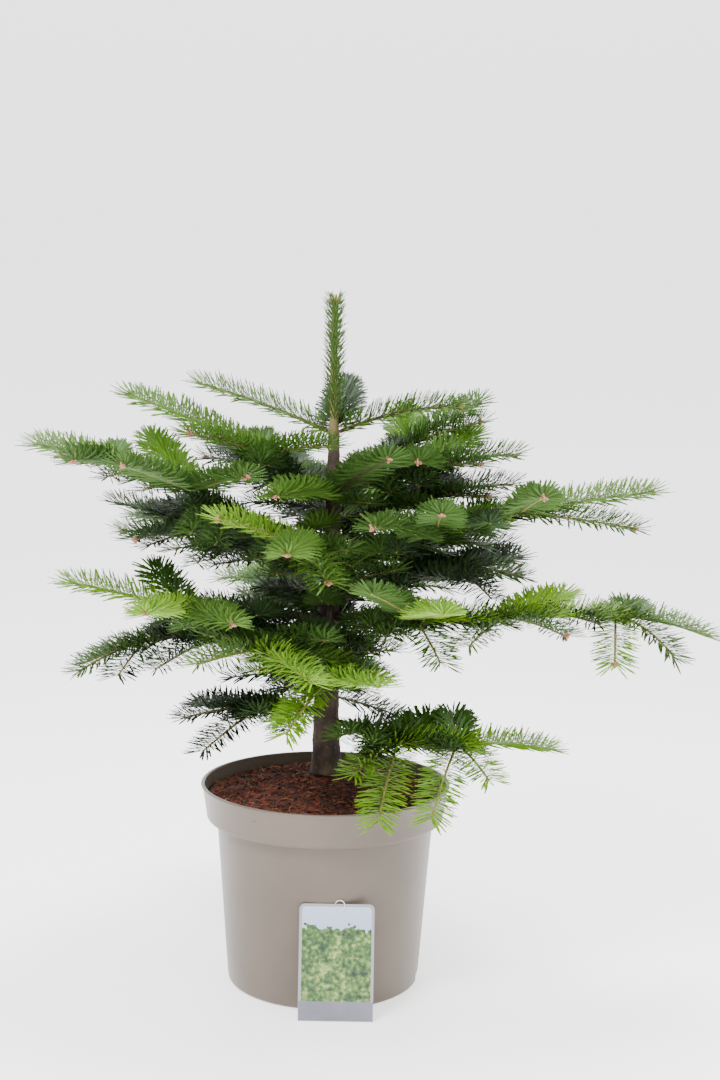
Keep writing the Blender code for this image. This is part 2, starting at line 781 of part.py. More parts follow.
def build_boughs(wood_material, needle_material, trunk, others):
    """Bare limbs first, then the masses of needles, each in its own space."""
    trunk_tree = object_tree(trunk)
    plans = [(bough, *lay_out(bough, trunk_tree)) for bough in BOUGHS]
    neighbours = [trunk_tree, *(object_tree(thing) for thing in others)]
    for bough, limb, _, _ in plans:
        if limb:
            verts, faces = tapered_tube(limb, bough.radius, bough.radius * LIMB_TAPER, LIMB_SIDES)
            make_object(f"bough_{bough.name}", verts, faces, wood_material, 50)
            neighbours.append(BVHTree.FromPolygons(verts, faces))
    left_out = []
    for bough, _, axis, sides in plans:
        stems = [seat_stem(axis[0], neighbours)]
        stems += [Spray(path, STEM_RADIUS * MAIN_STEM) for path in axis[1:]]
        if not all(stem.fit(neighbours) for stem in stems):
            raise ValueError(f"{bough.name} has no clear way")
        sprays = list(stems)
        for order, (node, path) in enumerate(sides):
            spray = seat_side(path, stems[node].points, neighbours)
            if spray and spray.fit(neighbours):
                sprays.append(spray)
            else:
                left_out.append((bough.name, order))
        join(f"mass_{bough.name}", [spray.mesh() for spray in sprays], needle_material)
        neighbours += [BVHTree.FromPolygons(*spray.mesh(GAP)) for spray in sprays]
    return left_out


def main():
    """Build the plant from the foot up."""
    clear_scene()
    pot_finish = make_material("pot_plastic", (0.30, 0.255, 0.215), 0.38)
    soil_finish = make_material("soil_fibre", (0.075, 0.024, 0.013), 0.95)
    card_finish = make_material("label_card", (0.45, 0.50, 0.42), 0.35)
    bark_finish = make_material("bark", (0.105, 0.078, 0.058), 0.9)
    needle_finish = make_material("needles", (0.065, 0.135, 0.03), 0.5)
    pot = build_pot(pot_finish)
    soil = build_soil(soil_finish)
    label = build_label(card_finish)
    trunk = build_trunk(bark_finish)
    leader = leader_mass(needle_finish)
    others = (pot, soil, label, leader)
    for name, order in build_boughs(bark_finish, needle_finish, trunk, others):
        print("left out:", name, order)


if __name__ == "__main__":
    main()
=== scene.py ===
"""Looks of a young fir in its nursery pot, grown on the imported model's frame."""
import logging
import math
import random
from dataclasses import dataclass, field
from enum import Enum

import bmesh
import bpy
import numpy as np
from mathutils import Matrix, Vector, noise
from mathutils.bvhtree import BVHTree


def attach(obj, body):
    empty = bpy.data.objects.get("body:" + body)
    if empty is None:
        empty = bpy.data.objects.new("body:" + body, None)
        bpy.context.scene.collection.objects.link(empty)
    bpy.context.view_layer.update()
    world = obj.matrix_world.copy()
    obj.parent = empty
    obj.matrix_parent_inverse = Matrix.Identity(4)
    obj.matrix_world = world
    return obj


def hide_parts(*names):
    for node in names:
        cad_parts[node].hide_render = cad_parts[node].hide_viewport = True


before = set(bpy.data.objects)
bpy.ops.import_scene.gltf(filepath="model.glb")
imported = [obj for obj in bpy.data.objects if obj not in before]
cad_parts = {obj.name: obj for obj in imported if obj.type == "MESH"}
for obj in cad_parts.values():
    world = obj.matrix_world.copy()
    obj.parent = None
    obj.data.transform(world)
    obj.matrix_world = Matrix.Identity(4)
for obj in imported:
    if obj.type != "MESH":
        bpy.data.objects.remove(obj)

LOG = logging.getLogger("potted_fir")
UP = Vector((0.0, 0.0, 1.0))
RISE = np.array([0.0, 0.0, 1.0])
BLACK = (0.0, 0.0, 0.0, 1.0)
WHITE = (1.0, 1.0, 1.0, 1.0)
BODY = "root"
LEADER = "leader"
GOLDEN_SHARE = 0.61803
GOLDEN_DEGREES = 137.5
GOLDEN_RADIANS = 2.39996


def srgb(red: int, green: int, blue: int) -> tuple[float, float, float, float]:
    """A linear colour from the values that a screen shows.

    Args:
        red: Red, 0 to 255.
        green: Green, 0 to 255.
        blue: Blue, 0 to 255.

    Returns:
        The colour, opaque.
    """
    parts = []
    for value in (red, green, blue):
        share = value / 255.0
        parts.append(share / 12.92 if share <= 0.04045 else ((share + 0.055) / 1.055) ** 2.4)
    return (*parts, 1.0)


class Wire:
    """A shader socket that Python's operators work on."""

    def __init__(self, recipe: "Recipe", socket: bpy.types.NodeSocket) -> None:
        """Keep the recipe that the socket belongs to."""
        self.recipe = recipe
        self.socket = socket

    def _math(self, operation: str, first: object, second: object) -> "Wire":
        """One Math node on two values or wires."""
        return self.recipe.node("ShaderNodeMath", {"operation": operation}, {0: first, 1: second})

    def __add__(self, other: object) -> "Wire":
        """Sum."""
        return self._math("ADD", self, other)

    __radd__ = __add__

    def __mul__(self, other: object) -> "Wire":
        """Product."""
        return self._math("MULTIPLY", self, other)

    __rmul__ = __mul__

    def __sub__(self, other: object) -> "Wire":
        """Difference."""
        return self._math("SUBTRACT", self, other)

    def __rsub__(self, other: object) -> "Wire":
        """Difference the other way round."""
        return self._math("SUBTRACT", other, self)

    def __gt__(self, other: object) -> "Wire":
        """1 where this is greater."""
        return self._math("GREATER_THAN", self, other)


class Recipe:
    """A node material under construction."""

    def __init__(self, name: str, **constants: object) -> None:
        """Start from a Principled surface.

        Args:
            name: The material's name.
            constants: Values of the surface's own sockets, with _ for a space.
        """
        self.material = bpy.data.materials.new(name)
        self.material.use_nodes = True
        self.nodes = self.material.node_tree.nodes
        self.links = self.material.node_tree.links
        self.surface = self.nodes["Principled BSDF"]
        for key, value in constants.items():
            self.surface.inputs[key.replace("_", " ")].default_value = value

    def node(self, kind: str, settings: dict | None = None, inputs: dict | None = None,
             output: int | str = 0) -> Wire:
        """Add any node.

        Args:
            kind: The node's type.
            settings: Its own properties; "stops" fills a colour ramp.
            inputs: Values or wires for its sockets, by name or number.
            output: Which output to hand back.

        Returns:
            The chosen output.
        """
        made = self.nodes.new(kind)
        for key, value in (settings or {}).items():
            if key == "stops":
                ramp = made.color_ramp
                while len(ramp.elements) < len(value):
                    ramp.elements.new(1.0)
                for element, (place, colour) in zip(ramp.elements, value):
                    element.position = place
                    element.color = colour
            else:
                setattr(made, key, value)
        for key, value in (inputs or {}).items():
            if isinstance(value, Wire):
                self.links.new(value.socket, made.inputs[key])
            else:
                made.inputs[key].default_value = value
        return Wire(self, made.outputs[output])

    def place(self, scale: tuple[float, float, float] = (1.0, 1.0, 1.0)) -> Wire:
        """Object coordinates, stretched by scale."""
        spot = self.node("ShaderNodeTexCoord", output="Object")
        return self.node("ShaderNodeMapping", inputs={"Vector": spot, "Scale": scale})

    def grain(self, scale: float, detail: float = 4.0, stretch: tuple = (1.0, 1.0, 1.0)) -> Wire:
        """Noise from 0 to 1 at a scale per metre."""
        return self.node("ShaderNodeTexNoise",
                         inputs={"Vector": self.place(stretch), "Scale": scale, "Detail": detail})

    def ramp(self, fac: Wire, *stops: tuple) -> Wire:
        """Colours along a factor."""
        return self.node("ShaderNodeValToRGB", {"stops": stops}, {"Fac": fac})

    def mix(self, fac: object, first: object, second: object) -> Wire:
        """Mix of two colours."""
        return self.node("ShaderNodeMix", {"data_type": "RGBA"}, {0: fac, 6: first, 7: second}, 2)

    def bump(self, height: Wire, distance: float, strength: float = 1.0) -> None:
        """Relief from a height, as a distance in metres."""
        self.feed(Normal=self.node("ShaderNodeBump", inputs={
            "Height": height, "Distance": distance, "Strength": strength}))

    def feed(self, **wires: Wire) -> None:
        """Link wires to the surface's sockets, with _ for a space."""
        for key, wire in wires.items():
            self.links.new(wire.socket, self.surface.inputs[key.replace("_", " ")])


@dataclass(frozen=True)
class NeedleFinish:
    """Green of a needle's upper side and of its paler underside."""

    name: str
    upper: tuple
    under: tuple
    upper_roughness: float = 0.42
    under_roughness: float = 0.6
    upper_gloss: float = 0.3
    under_gloss: float = 0.2

    def make(self) -> tuple[bpy.types.Material, bpy.types.Material]:
        """Make both materials.

        Returns:
            The upper side and the underside.
        """
        top = Recipe(f"needle_{self.name}_upper", Base_Color=self.upper,
                     Roughness=self.upper_roughness, Specular_IOR_Level=self.upper_gloss)
        low = Recipe(f"needle_{self.name}_under", Base_Color=self.under,
                     Roughness=self.under_roughness, Specular_IOR_Level=self.under_gloss)
        return top.material, low.material


@dataclass(frozen=True)
class BarkFinish:
    """Grey-brown bark with dark cracks and pale scales, olive on the youngest wood."""

    crack: tuple = srgb(34, 26, 22)
    plate: tuple = srgb(68, 54, 45)
    ridge: tuple = srgb(104, 87, 73)
    scale: tuple = srgb(128, 110, 92)
    young: tuple = srgb(128, 116, 70)
    roughness: float = 0.88
    coarse: float = 55.0
    fine: float = 420.0
    scale_share: float = 0.35
    young_from: float = 0.625
    young_to: float = 0.655
    ragged: float = 0.03
    relief: float = 0.0009
    strength: float = 0.8

    def make(self) -> bpy.types.Material:
        """Make the material.

        Returns:
            The bark.
        """
        bark = Recipe("bark", Roughness=self.roughness)
        coarse = bark.grain(self.coarse, 5.0, (1.0, 1.0, 0.45))
        fine = bark.grain(self.fine, 3.0, (1.0, 1.0, 0.6))
        colour = bark.ramp(coarse, (0.30, self.crack), (0.52, self.plate), (0.72, self.ridge))
        flecks = bark.ramp(fine, (0.60, BLACK), (0.72, WHITE))
        height = bark.node("ShaderNodeSeparateXYZ", inputs={"Vector": bark.place()}, output="Z")
        young = bark.ramp(height + coarse * self.ragged, (self.young_from, BLACK),
                          (self.young_to, WHITE))
        old = bark.mix(flecks * self.scale_share, colour, self.scale)
        bark.feed(Base_Color=bark.mix(young, old, self.young))
        bark.bump(coarse * 0.6 + fine * 0.5, self.relief, self.strength)
        return bark.material


@dataclass(frozen=True)
class CloudedFinish:
    """Two colours that run into each other in small clouds."""

    name: str
    first: tuple
    second: tuple
    scale: float
    roughness: float
    low: float = 0.35
    high: float = 0.70

    def make(self) -> bpy.types.Material:
        """Make the material.

        Returns:
            The clouded surface.
        """
        recipe = Recipe(self.name, Roughness=self.roughness)
        recipe.feed(Base_Color=recipe.ramp(recipe.grain(self.scale), (self.low, self.first),
                                           (self.high, self.second)))
        return recipe.material


@dataclass(frozen=True)
class CoirFinish:
    """A chip's or fibre's colour, darker in patches."""

    name: str
    colour: tuple
    shade: float = 0.55
    scale: float = 300.0
    roughness: float = 0.9

    def make(self) -> bpy.types.Material:
        """Make the material.

        Returns:
            The coir.
        """
        recipe = Recipe(self.name, Roughness=self.roughness)
        dark = tuple(self.shade * channel for channel in self.colour[:3]) + (1.0,)
        recipe.feed(Base_Color=recipe.mix(recipe.grain(self.scale), self.colour, dark))
        return recipe.material


@dataclass(frozen=True)
class PeatFinish:
    """The ground between the chips: rough, reddish and dark."""

    hollow: tuple = srgb(40, 22, 16)
    peat: tuple = srgb(86, 42, 28)
    crumb: tuple = srgb(126, 66, 44)
    scale: float = 420.0
    roughness: float = 0.95
    relief: float = 0.0016
    strength: float = 0.9

    def make(self) -> bpy.types.Material:
        """Make the material.

        Returns:
            The peat.
        """
        base = Recipe("soil_base", Roughness=self.roughness)
        rough = base.grain(self.scale, 5.0)
        base.feed(Base_Color=base.ramp(rough, (0.35, self.hollow), (0.60, self.peat),
                                       (0.78, self.crumb)))
        base.bump(rough, self.relief, self.strength)
        return base.material


@dataclass(frozen=True)
class PotFinish:
    """Taupe plastic with a soft gloss, faint moulding rings and dust."""

    dark: tuple = srgb(90, 80, 70)
    light: tuple = srgb(100, 89, 78)
    speck: tuple = srgb(64, 54, 44)
    gloss: float = 0.4
    cloud: float = 9.0
    dust: float = 900.0
    speck_share: float = 0.18
    smoothest: float = 0.30
    dulling: float = 0.14
    ring: float = 14.0
    relief: float = 0.0005
    strength: float = 0.35

    def make(self) -> bpy.types.Material:
        """Make the material.

        Returns:
            The plastic.
        """
        plastic = Recipe("pot_plastic", Specular_IOR_Level=self.gloss)
        cloud = plastic.grain(self.cloud, 3.0)
        specks = plastic.ramp(plastic.grain(self.dust, 2.0), (0.74, BLACK), (0.80, WHITE))
        colour = plastic.ramp(cloud, (0.35, self.dark), (0.70, self.light))
        plastic.feed(Base_Color=plastic.mix(specks * self.speck_share, colour, self.speck))
        plastic.feed(Roughness=self.smoothest + cloud * self.dulling)
        rings = plastic.grain(self.ring, 3.0, (0.4, 0.4, 26.0))
        plastic.bump(rings * 0.5 + cloud * 0.6, self.relief, self.strength)
        return plastic.material


@dataclass(frozen=True)
class PictureFinish:
    """Soft clumps of green under a pale sky, with no motif of their own."""

    greens: tuple = ((0.38, srgb(16, 38, 18)), (0.50, srgb(48, 84, 36)),
                     (0.60, srgb(92, 124, 52)), (0.70, srgb(148, 164, 96)))
    sky_low: tuple = srgb(138, 166, 196)
    sky_high: tuple = srgb(176, 190, 208)
    sky_from: float = 0.07
    sky_steepness: float = 18.0
    tree_line: float = 0.096
    leaf: float = 230.0
    clump: float = 60.0
    roughness: float = 0.22

    def make(self) -> bpy.types.Material:
        """Make the material.

        Returns:
            The printed picture.
        """
        card = Recipe("label_picture", Roughness=self.roughness)
        spot = card.node("ShaderNodeTexCoord", output="Object")
        height = card.node("ShaderNodeSeparateXYZ", inputs={"Vector": spot}, output="Z")
        leaves = card.grain(self.leaf, 6.0)
        clumps = card.grain(self.clump, 2.0)
        green = card.ramp(leaves * 0.75 + clumps * 0.35, *self.greens)
        sky = card.ramp((height - self.sky_from) * self.sky_steepness, (0.0, self.sky_low),
                        (1.0, self.sky_high))
        line = height + (clumps - 0.5) * 0.06 + (leaves - 0.5) * 0.02
        card.feed(Base_Color=card.mix(line > self.tree_line, green, sky))
        return card.material


class Tone(Enum):
    """Greens that the sprays are dealt: partly the needles' own tints and partly painted shade,
    since the darker greens go to shoots that stand in shade.
    """

    DEEP = NeedleFinish("deep", srgb(26, 48, 16), srgb(48, 70, 36))
    MID = NeedleFinish("mid", srgb(50, 84, 16), srgb(68, 98, 40))
    LIGHT = NeedleFinish("light", srgb(74, 112, 18), srgb(84, 116, 44))
    BRIGHT = NeedleFinish("bright", srgb(112, 154, 22), srgb(118, 156, 48))


@dataclass(frozen=True)
class Stance:
    """How needles stand round a shoot, in degrees from its upper side and from its stem."""

    spread: float
    crowding: float
    lean_side: float
    lean_top: float
    top_length: float


class Habit(Enum):
    """The stances that the boughs are given."""

    BRUSH = Stance(124.0, 0.82, 62.0, 48.0, 0.74)
    COMB = Stance(102.0, 0.45, 64.0, 52.0, 0.66)


@dataclass(frozen=True)
class Dress:
    """Stem and needles of a shoot: radii of foot and tip, length and number of needles."""

    foot: float
    tip: float
    needle: float = 0.030
    per_metre: float = 2050.0


SIDE_DRESS = Dress(0.0016, 0.0010)
BETWEEN_DRESS = Dress(0.0013, 0.0008, 0.024)
LIMB_TWIG_DRESS = Dress(0.0014, 0.0008, 0.026, 1500.0)
SPRIG_DRESS = Dress(0.0015, 0.0009, 0.026, 1700.0)
LEADER_DRESS = Dress(0.0048, 0.0032, 0.0145, 3300.0)


@dataclass(frozen=True)
class Shoot:
    """One year's growth: which way it leaves, how long, and how it bends."""

    azimuth: float
    lift: float
    length: float
    sag: float = 6.0


@dataclass(frozen=True)
class Bough:
    """A bough of the trunk: bare wood first, then growth with needles."""

    name: str
    height: float
    wood: Shoot | None
    growth: tuple
    sides: tuple = ()
    radius: float = 0.0036
    bare_steps: int = 3
    tones: tuple = (Tone.MID, Tone.LIGHT)
    habit: Habit = Habit.BRUSH
    buds: float = 0.9


def side(node: int, azimuth: float, lift: float, length: float,
         sag: float = 8.0) -> tuple[int, Shoot]:
    """A side shoot that leaves the axis where a year's growth starts."""
    return node, Shoot(azimuth, lift, length, sag)


# Painted shade: the deep and mid greens dealt to back, low and inner shoots stand in for the shade
# inside the crown.
SHADED = (Tone.DEEP, Tone.MID)
GREEN = (Tone.MID, Tone.LIGHT)
FRESH = (Tone.LIGHT, Tone.BRIGHT)
YOUNG = (Tone.BRIGHT,)

BOUGHS = (
    Bough("crown_left", 0.618, None, (Shoot(172, 24, 0.155, 10),), tones=GREEN),
    Bough("crown_right", 0.618, None, (Shoot(347, 25, 0.140, 24),), tones=GREEN),
    Bough("crown_back", 0.620, None, (Shoot(84, 28, 0.130, 14),), tones=SHADED),
    Bough("upper_left", 0.552, Shoot(203, 32, 0.086, 6),
          (Shoot(154, 23, 0.185, 8),),
          (side(0, 223, 18, 0.103), side(0, 322, 12, 0.097), side(0, 96, 8, 0.110)), tones=GREEN),
    Bough("upper_front_right", 0.550, None, (Shoot(293, 24, 0.150, 12),), tones=GREEN),
    Bough("upper_front_left", 0.541, None, (Shoot(249, 16, 0.150, 20),), tones=GREEN),
    Bough("upper_right", 0.552, Shoot(354, 20, 0.100, 6),
          (Shoot(4, 16, 0.101, 16),),
          (side(0, 263, 10, 0.112), side(0, 58, 20, 0.112)), tones=GREEN),
    Bough("upper_back_right", 0.556, Shoot(41, 26, 0.110, 4),
          (Shoot(36, 26, 0.119, 4),), tones=GREEN),
    Bough("upper_back_left", 0.546, Shoot(128, 18, 0.095, 6),
          (Shoot(132, 12, 0.120),), tones=SHADED),
    Bough("middle_left", 0.478, Shoot(202, 29, 0.170, 6),
          (Shoot(173, 22, 0.092, 6), Shoot(154, 14, 0.103, 10)),
          (side(0, 241, 20, 0.126), side(0, 304, 16, 0.123), side(0, 117, 26, 0.135),
           side(1, 246, 8, 0.076), side(1, 205, 12, 0.058)), 0.0050, tones=GREEN),
    Bough("middle_left_low", 0.464, Shoot(186, 22, 0.140, 8),
          (Shoot(180, 22, 0.104, 12),),
          (side(0, 232, 2, 0.105), side(0, 132, 12, 0.100), side(0, 206, -10, 0.068)),
          tones=SHADED, habit=Habit.COMB, buds=0.3),
    Bough("middle_right", 0.478, Shoot(330, 18, 0.126, 2),
          (Shoot(341, 16, 0.095, 4), Shoot(17, 12, 0.157, 8)),
          (side(0, 270, 18, 0.120), side(0, 236, 10, 0.125), side(0, 48, 12, 0.105),
           side(1, 277, 18, 0.112), side(1, 338, 0, 0.125), side(1, 64, 8, 0.090)),
          0.0050, 4, tones=GREEN),
    Bough("middle_right_high", 0.518, Shoot(14, 18, 0.100, 6),
          (Shoot(8, 16, 0.105, 16),),
          (side(0, 326, 8, 0.085), side(0, 66, 10, 0.095)), tones=SHADED),
    Bough("middle_right_low", 0.440, Shoot(352, 14, 0.130, 4),
          (Shoot(350, 8, 0.079, 24),),
          (side(0, 298, -4, 0.085, 22), side(0, 40, 8, 0.100)), tones=SHADED, buds=0.3),
    Bough("middle_front", 0.478, Shoot(255, 14, 0.100, 2),
          (Shoot(264, 6, 0.118, 8),),
          (side(0, 292, -18, 0.080), side(0, 213, 22, 0.108)), tones=FRESH),
    Bough("middle_back", 0.486, Shoot(84, 18, 0.150, 8),
          (Shoot(88, 14, 0.090), Shoot(80, 10, 0.105)), tones=GREEN),
    Bough("middle_back_left", 0.455, Shoot(144, 16, 0.150, 8),
          (Shoot(146, 12, 0.140, 10),), tones=GREEN),
    Bough("middle_back_right", 0.462, Shoot(38, 14, 0.130, 8),
          (Shoot(33, 12, 0.125, 10),), tones=SHADED),
    Bough("lower_left", 0.408, Shoot(206, 8, 0.160, 6),
          (Shoot(172, 17, 0.136, 10),),
          (side(0, 257, 12, 0.130), side(0, 294, 8, 0.150), side(0, 128, 34, 0.078)), 0.0048,
          tones=FRESH, buds=0.4),
    Bough("lower_left_low", 0.384, Shoot(192, 4, 0.115, 4),
          (Shoot(196, 2, 0.080, 6), Shoot(212, -12, 0.085, 16)),
          (side(0, 232, -10, 0.100), side(0, 140, 0, 0.100), side(1, 246, -24, 0.065)),
          tones=(Tone.MID, Tone.LIGHT, Tone.DEEP), habit=Habit.COMB, buds=0.2),
    Bough("lower_left_front", 0.402, Shoot(243, 0, 0.145, 6),
          (Shoot(302, -2, 0.114, 12),),
          (side(0, 226, 0, 0.085),), tones=FRESH, buds=0.2),
    Bough("lower_right", 0.410, Shoot(315, 8, 0.125, 6),
          (Shoot(6, 3, 0.098, 2), Shoot(9, 4, 0.122, 6), Shoot(15, -5, 0.114, 18)),
          (side(0, 243, 25, 0.118), side(0, 281, 16, 0.122), side(0, 300, -34, 0.062),
           side(1, 312, 2, 0.085, 16), side(1, 228, -10, 0.070, 20), side(1, 50, 10, 0.115),
           side(2, 262, -22, 0.075, 30), side(2, 322, -8, 0.085, 40), side(2, 66, 0, 0.080)),
          0.0048, tones=(Tone.LIGHT, Tone.BRIGHT, Tone.MID), habit=Habit.COMB, buds=0.1),
    Bough("lower_front", 0.420, Shoot(270, -20, 0.132, 14),
          (Shoot(232, -30, 0.080, 12),),
          (side(0, 305, 10, 0.098),), 0.0028, tones=YOUNG, habit=Habit.COMB, buds=0.0),
    Bough("lower_back_right", 0.425, Shoot(48, 10, 0.150, 6),
          (Shoot(44, 8, 0.140, 10),), tones=SHADED, buds=0.4),
    Bough("lower_back", 0.395, Shoot(104, 8, 0.160, 6),
          (Shoot(108, 6, 0.095, 6), Shoot(112, 2, 0.100, 10)), tones=GREEN, buds=0.4),
    Bough("base_left", 0.302, Shoot(205, 8, 0.070, 6),
          (Shoot(196, 6, 0.084, 22),),
          (side(0, 226, -20, 0.088), side(0, 146, 0, 0.085)), tones=SHADED,
          habit=Habit.COMB, buds=0.0),
    Bough("base_right", 0.289, Shoot(312, 4, 0.104, 14),
          (Shoot(352, 6, 0.066, 6), Shoot(14, 0, 0.108, 12)),
          (side(0, 258, -22, 0.116, 20), side(0, 226, -12, 0.072, 14), side(0, 62, 12, 0.085),
           side(1, 251, -22, 0.112, 20), side(1, 302, -18, 0.065, 14), side(1, 92, 14, 0.075)),
          0.0040, tones=YOUNG, habit=Habit.COMB, buds=0.0),
    Bough("base_back", 0.312, Shoot(98, 8, 0.120, 6),
          (Shoot(90, 4, 0.115, 12),), tones=SHADED, habit=Habit.COMB, buds=0.0),
)


def course(start: Vector, shoot: Shoot, steps: int) -> list[Vector]:
    """Points along a shoot that bends from its first lift down by its sag.

    Args:
        start: Where it leaves.
        shoot: Its heading, length and bend.
        steps: How many straight pieces it has.

    Returns:
        The points, its start among them.
    """
    points = [Vector(start)]
    turn = math.radians(shoot.azimuth)
    for step in range(steps):
        lift = math.radians(shoot.lift - shoot.sag * (step + 0.5) / steps)
        heading = Vector((math.cos(lift) * math.cos(turn), math.cos(lift) * math.sin(turn),
                          math.sin(lift)))
        points.append(points[-1] + heading * (shoot.length / steps))
    return points


def resample(path: list[Vector], steps: int) -> list[Vector]:
    """A path again with another number of points.

    Args:
        path: The path.
        steps: How many pieces the new one has.

    Returns:
        The new points.
    """
    points = []
    for k in range(steps + 1):
        total = k / steps * (len(path) - 1)
        low = min(int(total), len(path) - 2)
        points.append(path[low].lerp(path[low + 1], total - low))
    return points


def frames(points: list[Vector]) -> list[tuple[Vector, Vector, Vector]]:
    """Directions at each point of a path.

    Args:
        points: The path.

    Returns:
        Forward, side and up for each point.
    """
    result = []
    last = len(points) - 1
    for k in range(len(points)):
        forward = (points[min(k + 1, last)] - points[max(k - 1, 0)]).normalized()
        across = UP.cross(forward)
        if across.length < 1e-4:
            across = Vector((1.0, 0.0, 0.0))
        across.normalize()
        result.append((forward, across, forward.cross(across)))
    return result


def flat_heading(azimuth: float) -> Vector:
    """A level direction from an angle in degrees."""
    turn = math.radians(azimuth)
    return Vector((math.cos(turn), math.sin(turn), 0.0))


def azimuth_of(path: list[Vector]) -> float:
    """The angle in degrees that a path heads to, seen from above."""
    heading = path[-1] - path[0]
    return math.degrees(math.atan2(heading.y, heading.x))


def put(name: str, data: bpy.types.ID) -> bpy.types.Object:
    """An object in the scene.

    Args:
        name: The object's name.
        data: Its mesh, light or camera.

    Returns:
        The object.
    """
    piece = bpy.data.objects.new(name, data)
    bpy.context.scene.collection.objects.link(piece)
    return piece


def new_piece(name: str, verts: list, faces: list, material: bpy.types.Material | None,
              smooth: bool = True) -> bpy.types.Object:
    """An object from vertices and faces, with one finish.

    Args:
        name: The piece's name.
        verts: Its vertices.
        faces: Its faces, as vertex numbers.
        material: Its finish, or none for a shape that is only copied.
        smooth: Whether its faces are shaded smooth.

    Returns:
        The piece.
    """
    mesh = bpy.data.meshes.new(name)
    mesh.from_pydata([tuple(v) for v in verts], [], faces)
    mesh.materials.append(material)
    if smooth:
        mesh.shade_smooth()
    mesh.update()
    return put(name, mesh)


def hand_over(piece: bpy.types.Object, nodes: list[str]) -> None:
    """Let a piece ride on the body and hide the nodes that it stands for.

    Args:
        piece: The finished piece.
        nodes: The model's nodes that it replaces.
    """
    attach(piece, BODY)
    if nodes:
        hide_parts(*nodes)
    LOG.info("%s: %d faces", piece.name, len(piece.data.polygons))


def ring_faces(base: int, rows: int, sides: int) -> list[tuple]:
    """Faces of a closed tube whose rings follow each other.

    Args:
        base: Number of its first vertex.
        rows: How many rows of faces it has.
        sides: Corners of a ring.

    Returns:
        The wall's faces and both ends.
    """
    faces = []
    for row in range(rows):
        for k in range(sides):
            after = (k + 1) % sides
            low = base + row * sides
            high = low + sides
            faces.append((low + k, low + after, high + after, high + k))
    faces.append(tuple(base + k for k in reversed(range(sides))))
    faces.append(tuple(base + rows * sides + k for k in range(sides)))
    return faces


def turned(profile: list[tuple[float, float]], sides: int) -> tuple[list, list]:
    """A profile turned about Z.

    Args:
        profile: Radius and height of each point, from the axis back to it.
        sides: Corners of a ring.

    Returns:
        Vertices and faces.
    """
    verts: list = []
    rings: list = []
    for radius, height in profile:
        if radius == 0.0:
            rings.append([len(verts)])
            verts.append(Vector((0.0, 0.0, height)))
            continue
        ring = []
        for k in range(sides):
            angle = math.tau * k / sides
            ring.append(len(verts))
            verts.append(Vector((radius * math.cos(angle), radius * math.sin(angle), height)))
        rings.append(ring)
    faces = []
    for low, high in zip(rings, rings[1:]):
        for k in range(sides):
            after = (k + 1) % sides
            if len(low) == 1:
                faces.append((low[0], high[after], high[k]))
            elif len(high) == 1:
                faces.append((low[k], low[after], high[0]))
            else:
                faces.append((low[k], low[after], high[after], high[k]))
    return verts, faces


class Tubes:
    """Tapered tubes gathered into one mesh."""

    def __init__(self) -> None:
        """Start with nothing."""
        self.verts: list = []
        self.faces: list = []

    def add(self, points: list[Vector], foot: float, tip: float, sides: int,
            relief: float = 0.0, scale: float = 300.0) -> None:
        """Add a tube along a path.

        Args:
            points: The path.
            foot: Radius at its start.
            tip: Radius at its end.
            sides: Corners of its section.
            relief: How far noise moves the skin.
            scale: How fine the relief is.
        """
        base = len(self.verts)
        last = len(points) - 1
        for k, (point, (_, across, up)) in enumerate(zip(points, frames(points))):
            radius = foot + (tip - foot) * k / last
            for j in range(sides):
                angle = math.tau * j / sides
                spoke = across * math.cos(angle) + up * math.sin(angle)
                vert = point + spoke * radius
                if relief:
                    vert += spoke * relief * noise.noise(vert * scale)
                self.verts.append(vert)
        self.faces += ring_faces(base, last, sides)

    def piece(self, name: str, material: bpy.types.Material | None) -> bpy.types.Object:
        """The tubes as one object."""
        return new_piece(name, self.verts, self.faces, material)


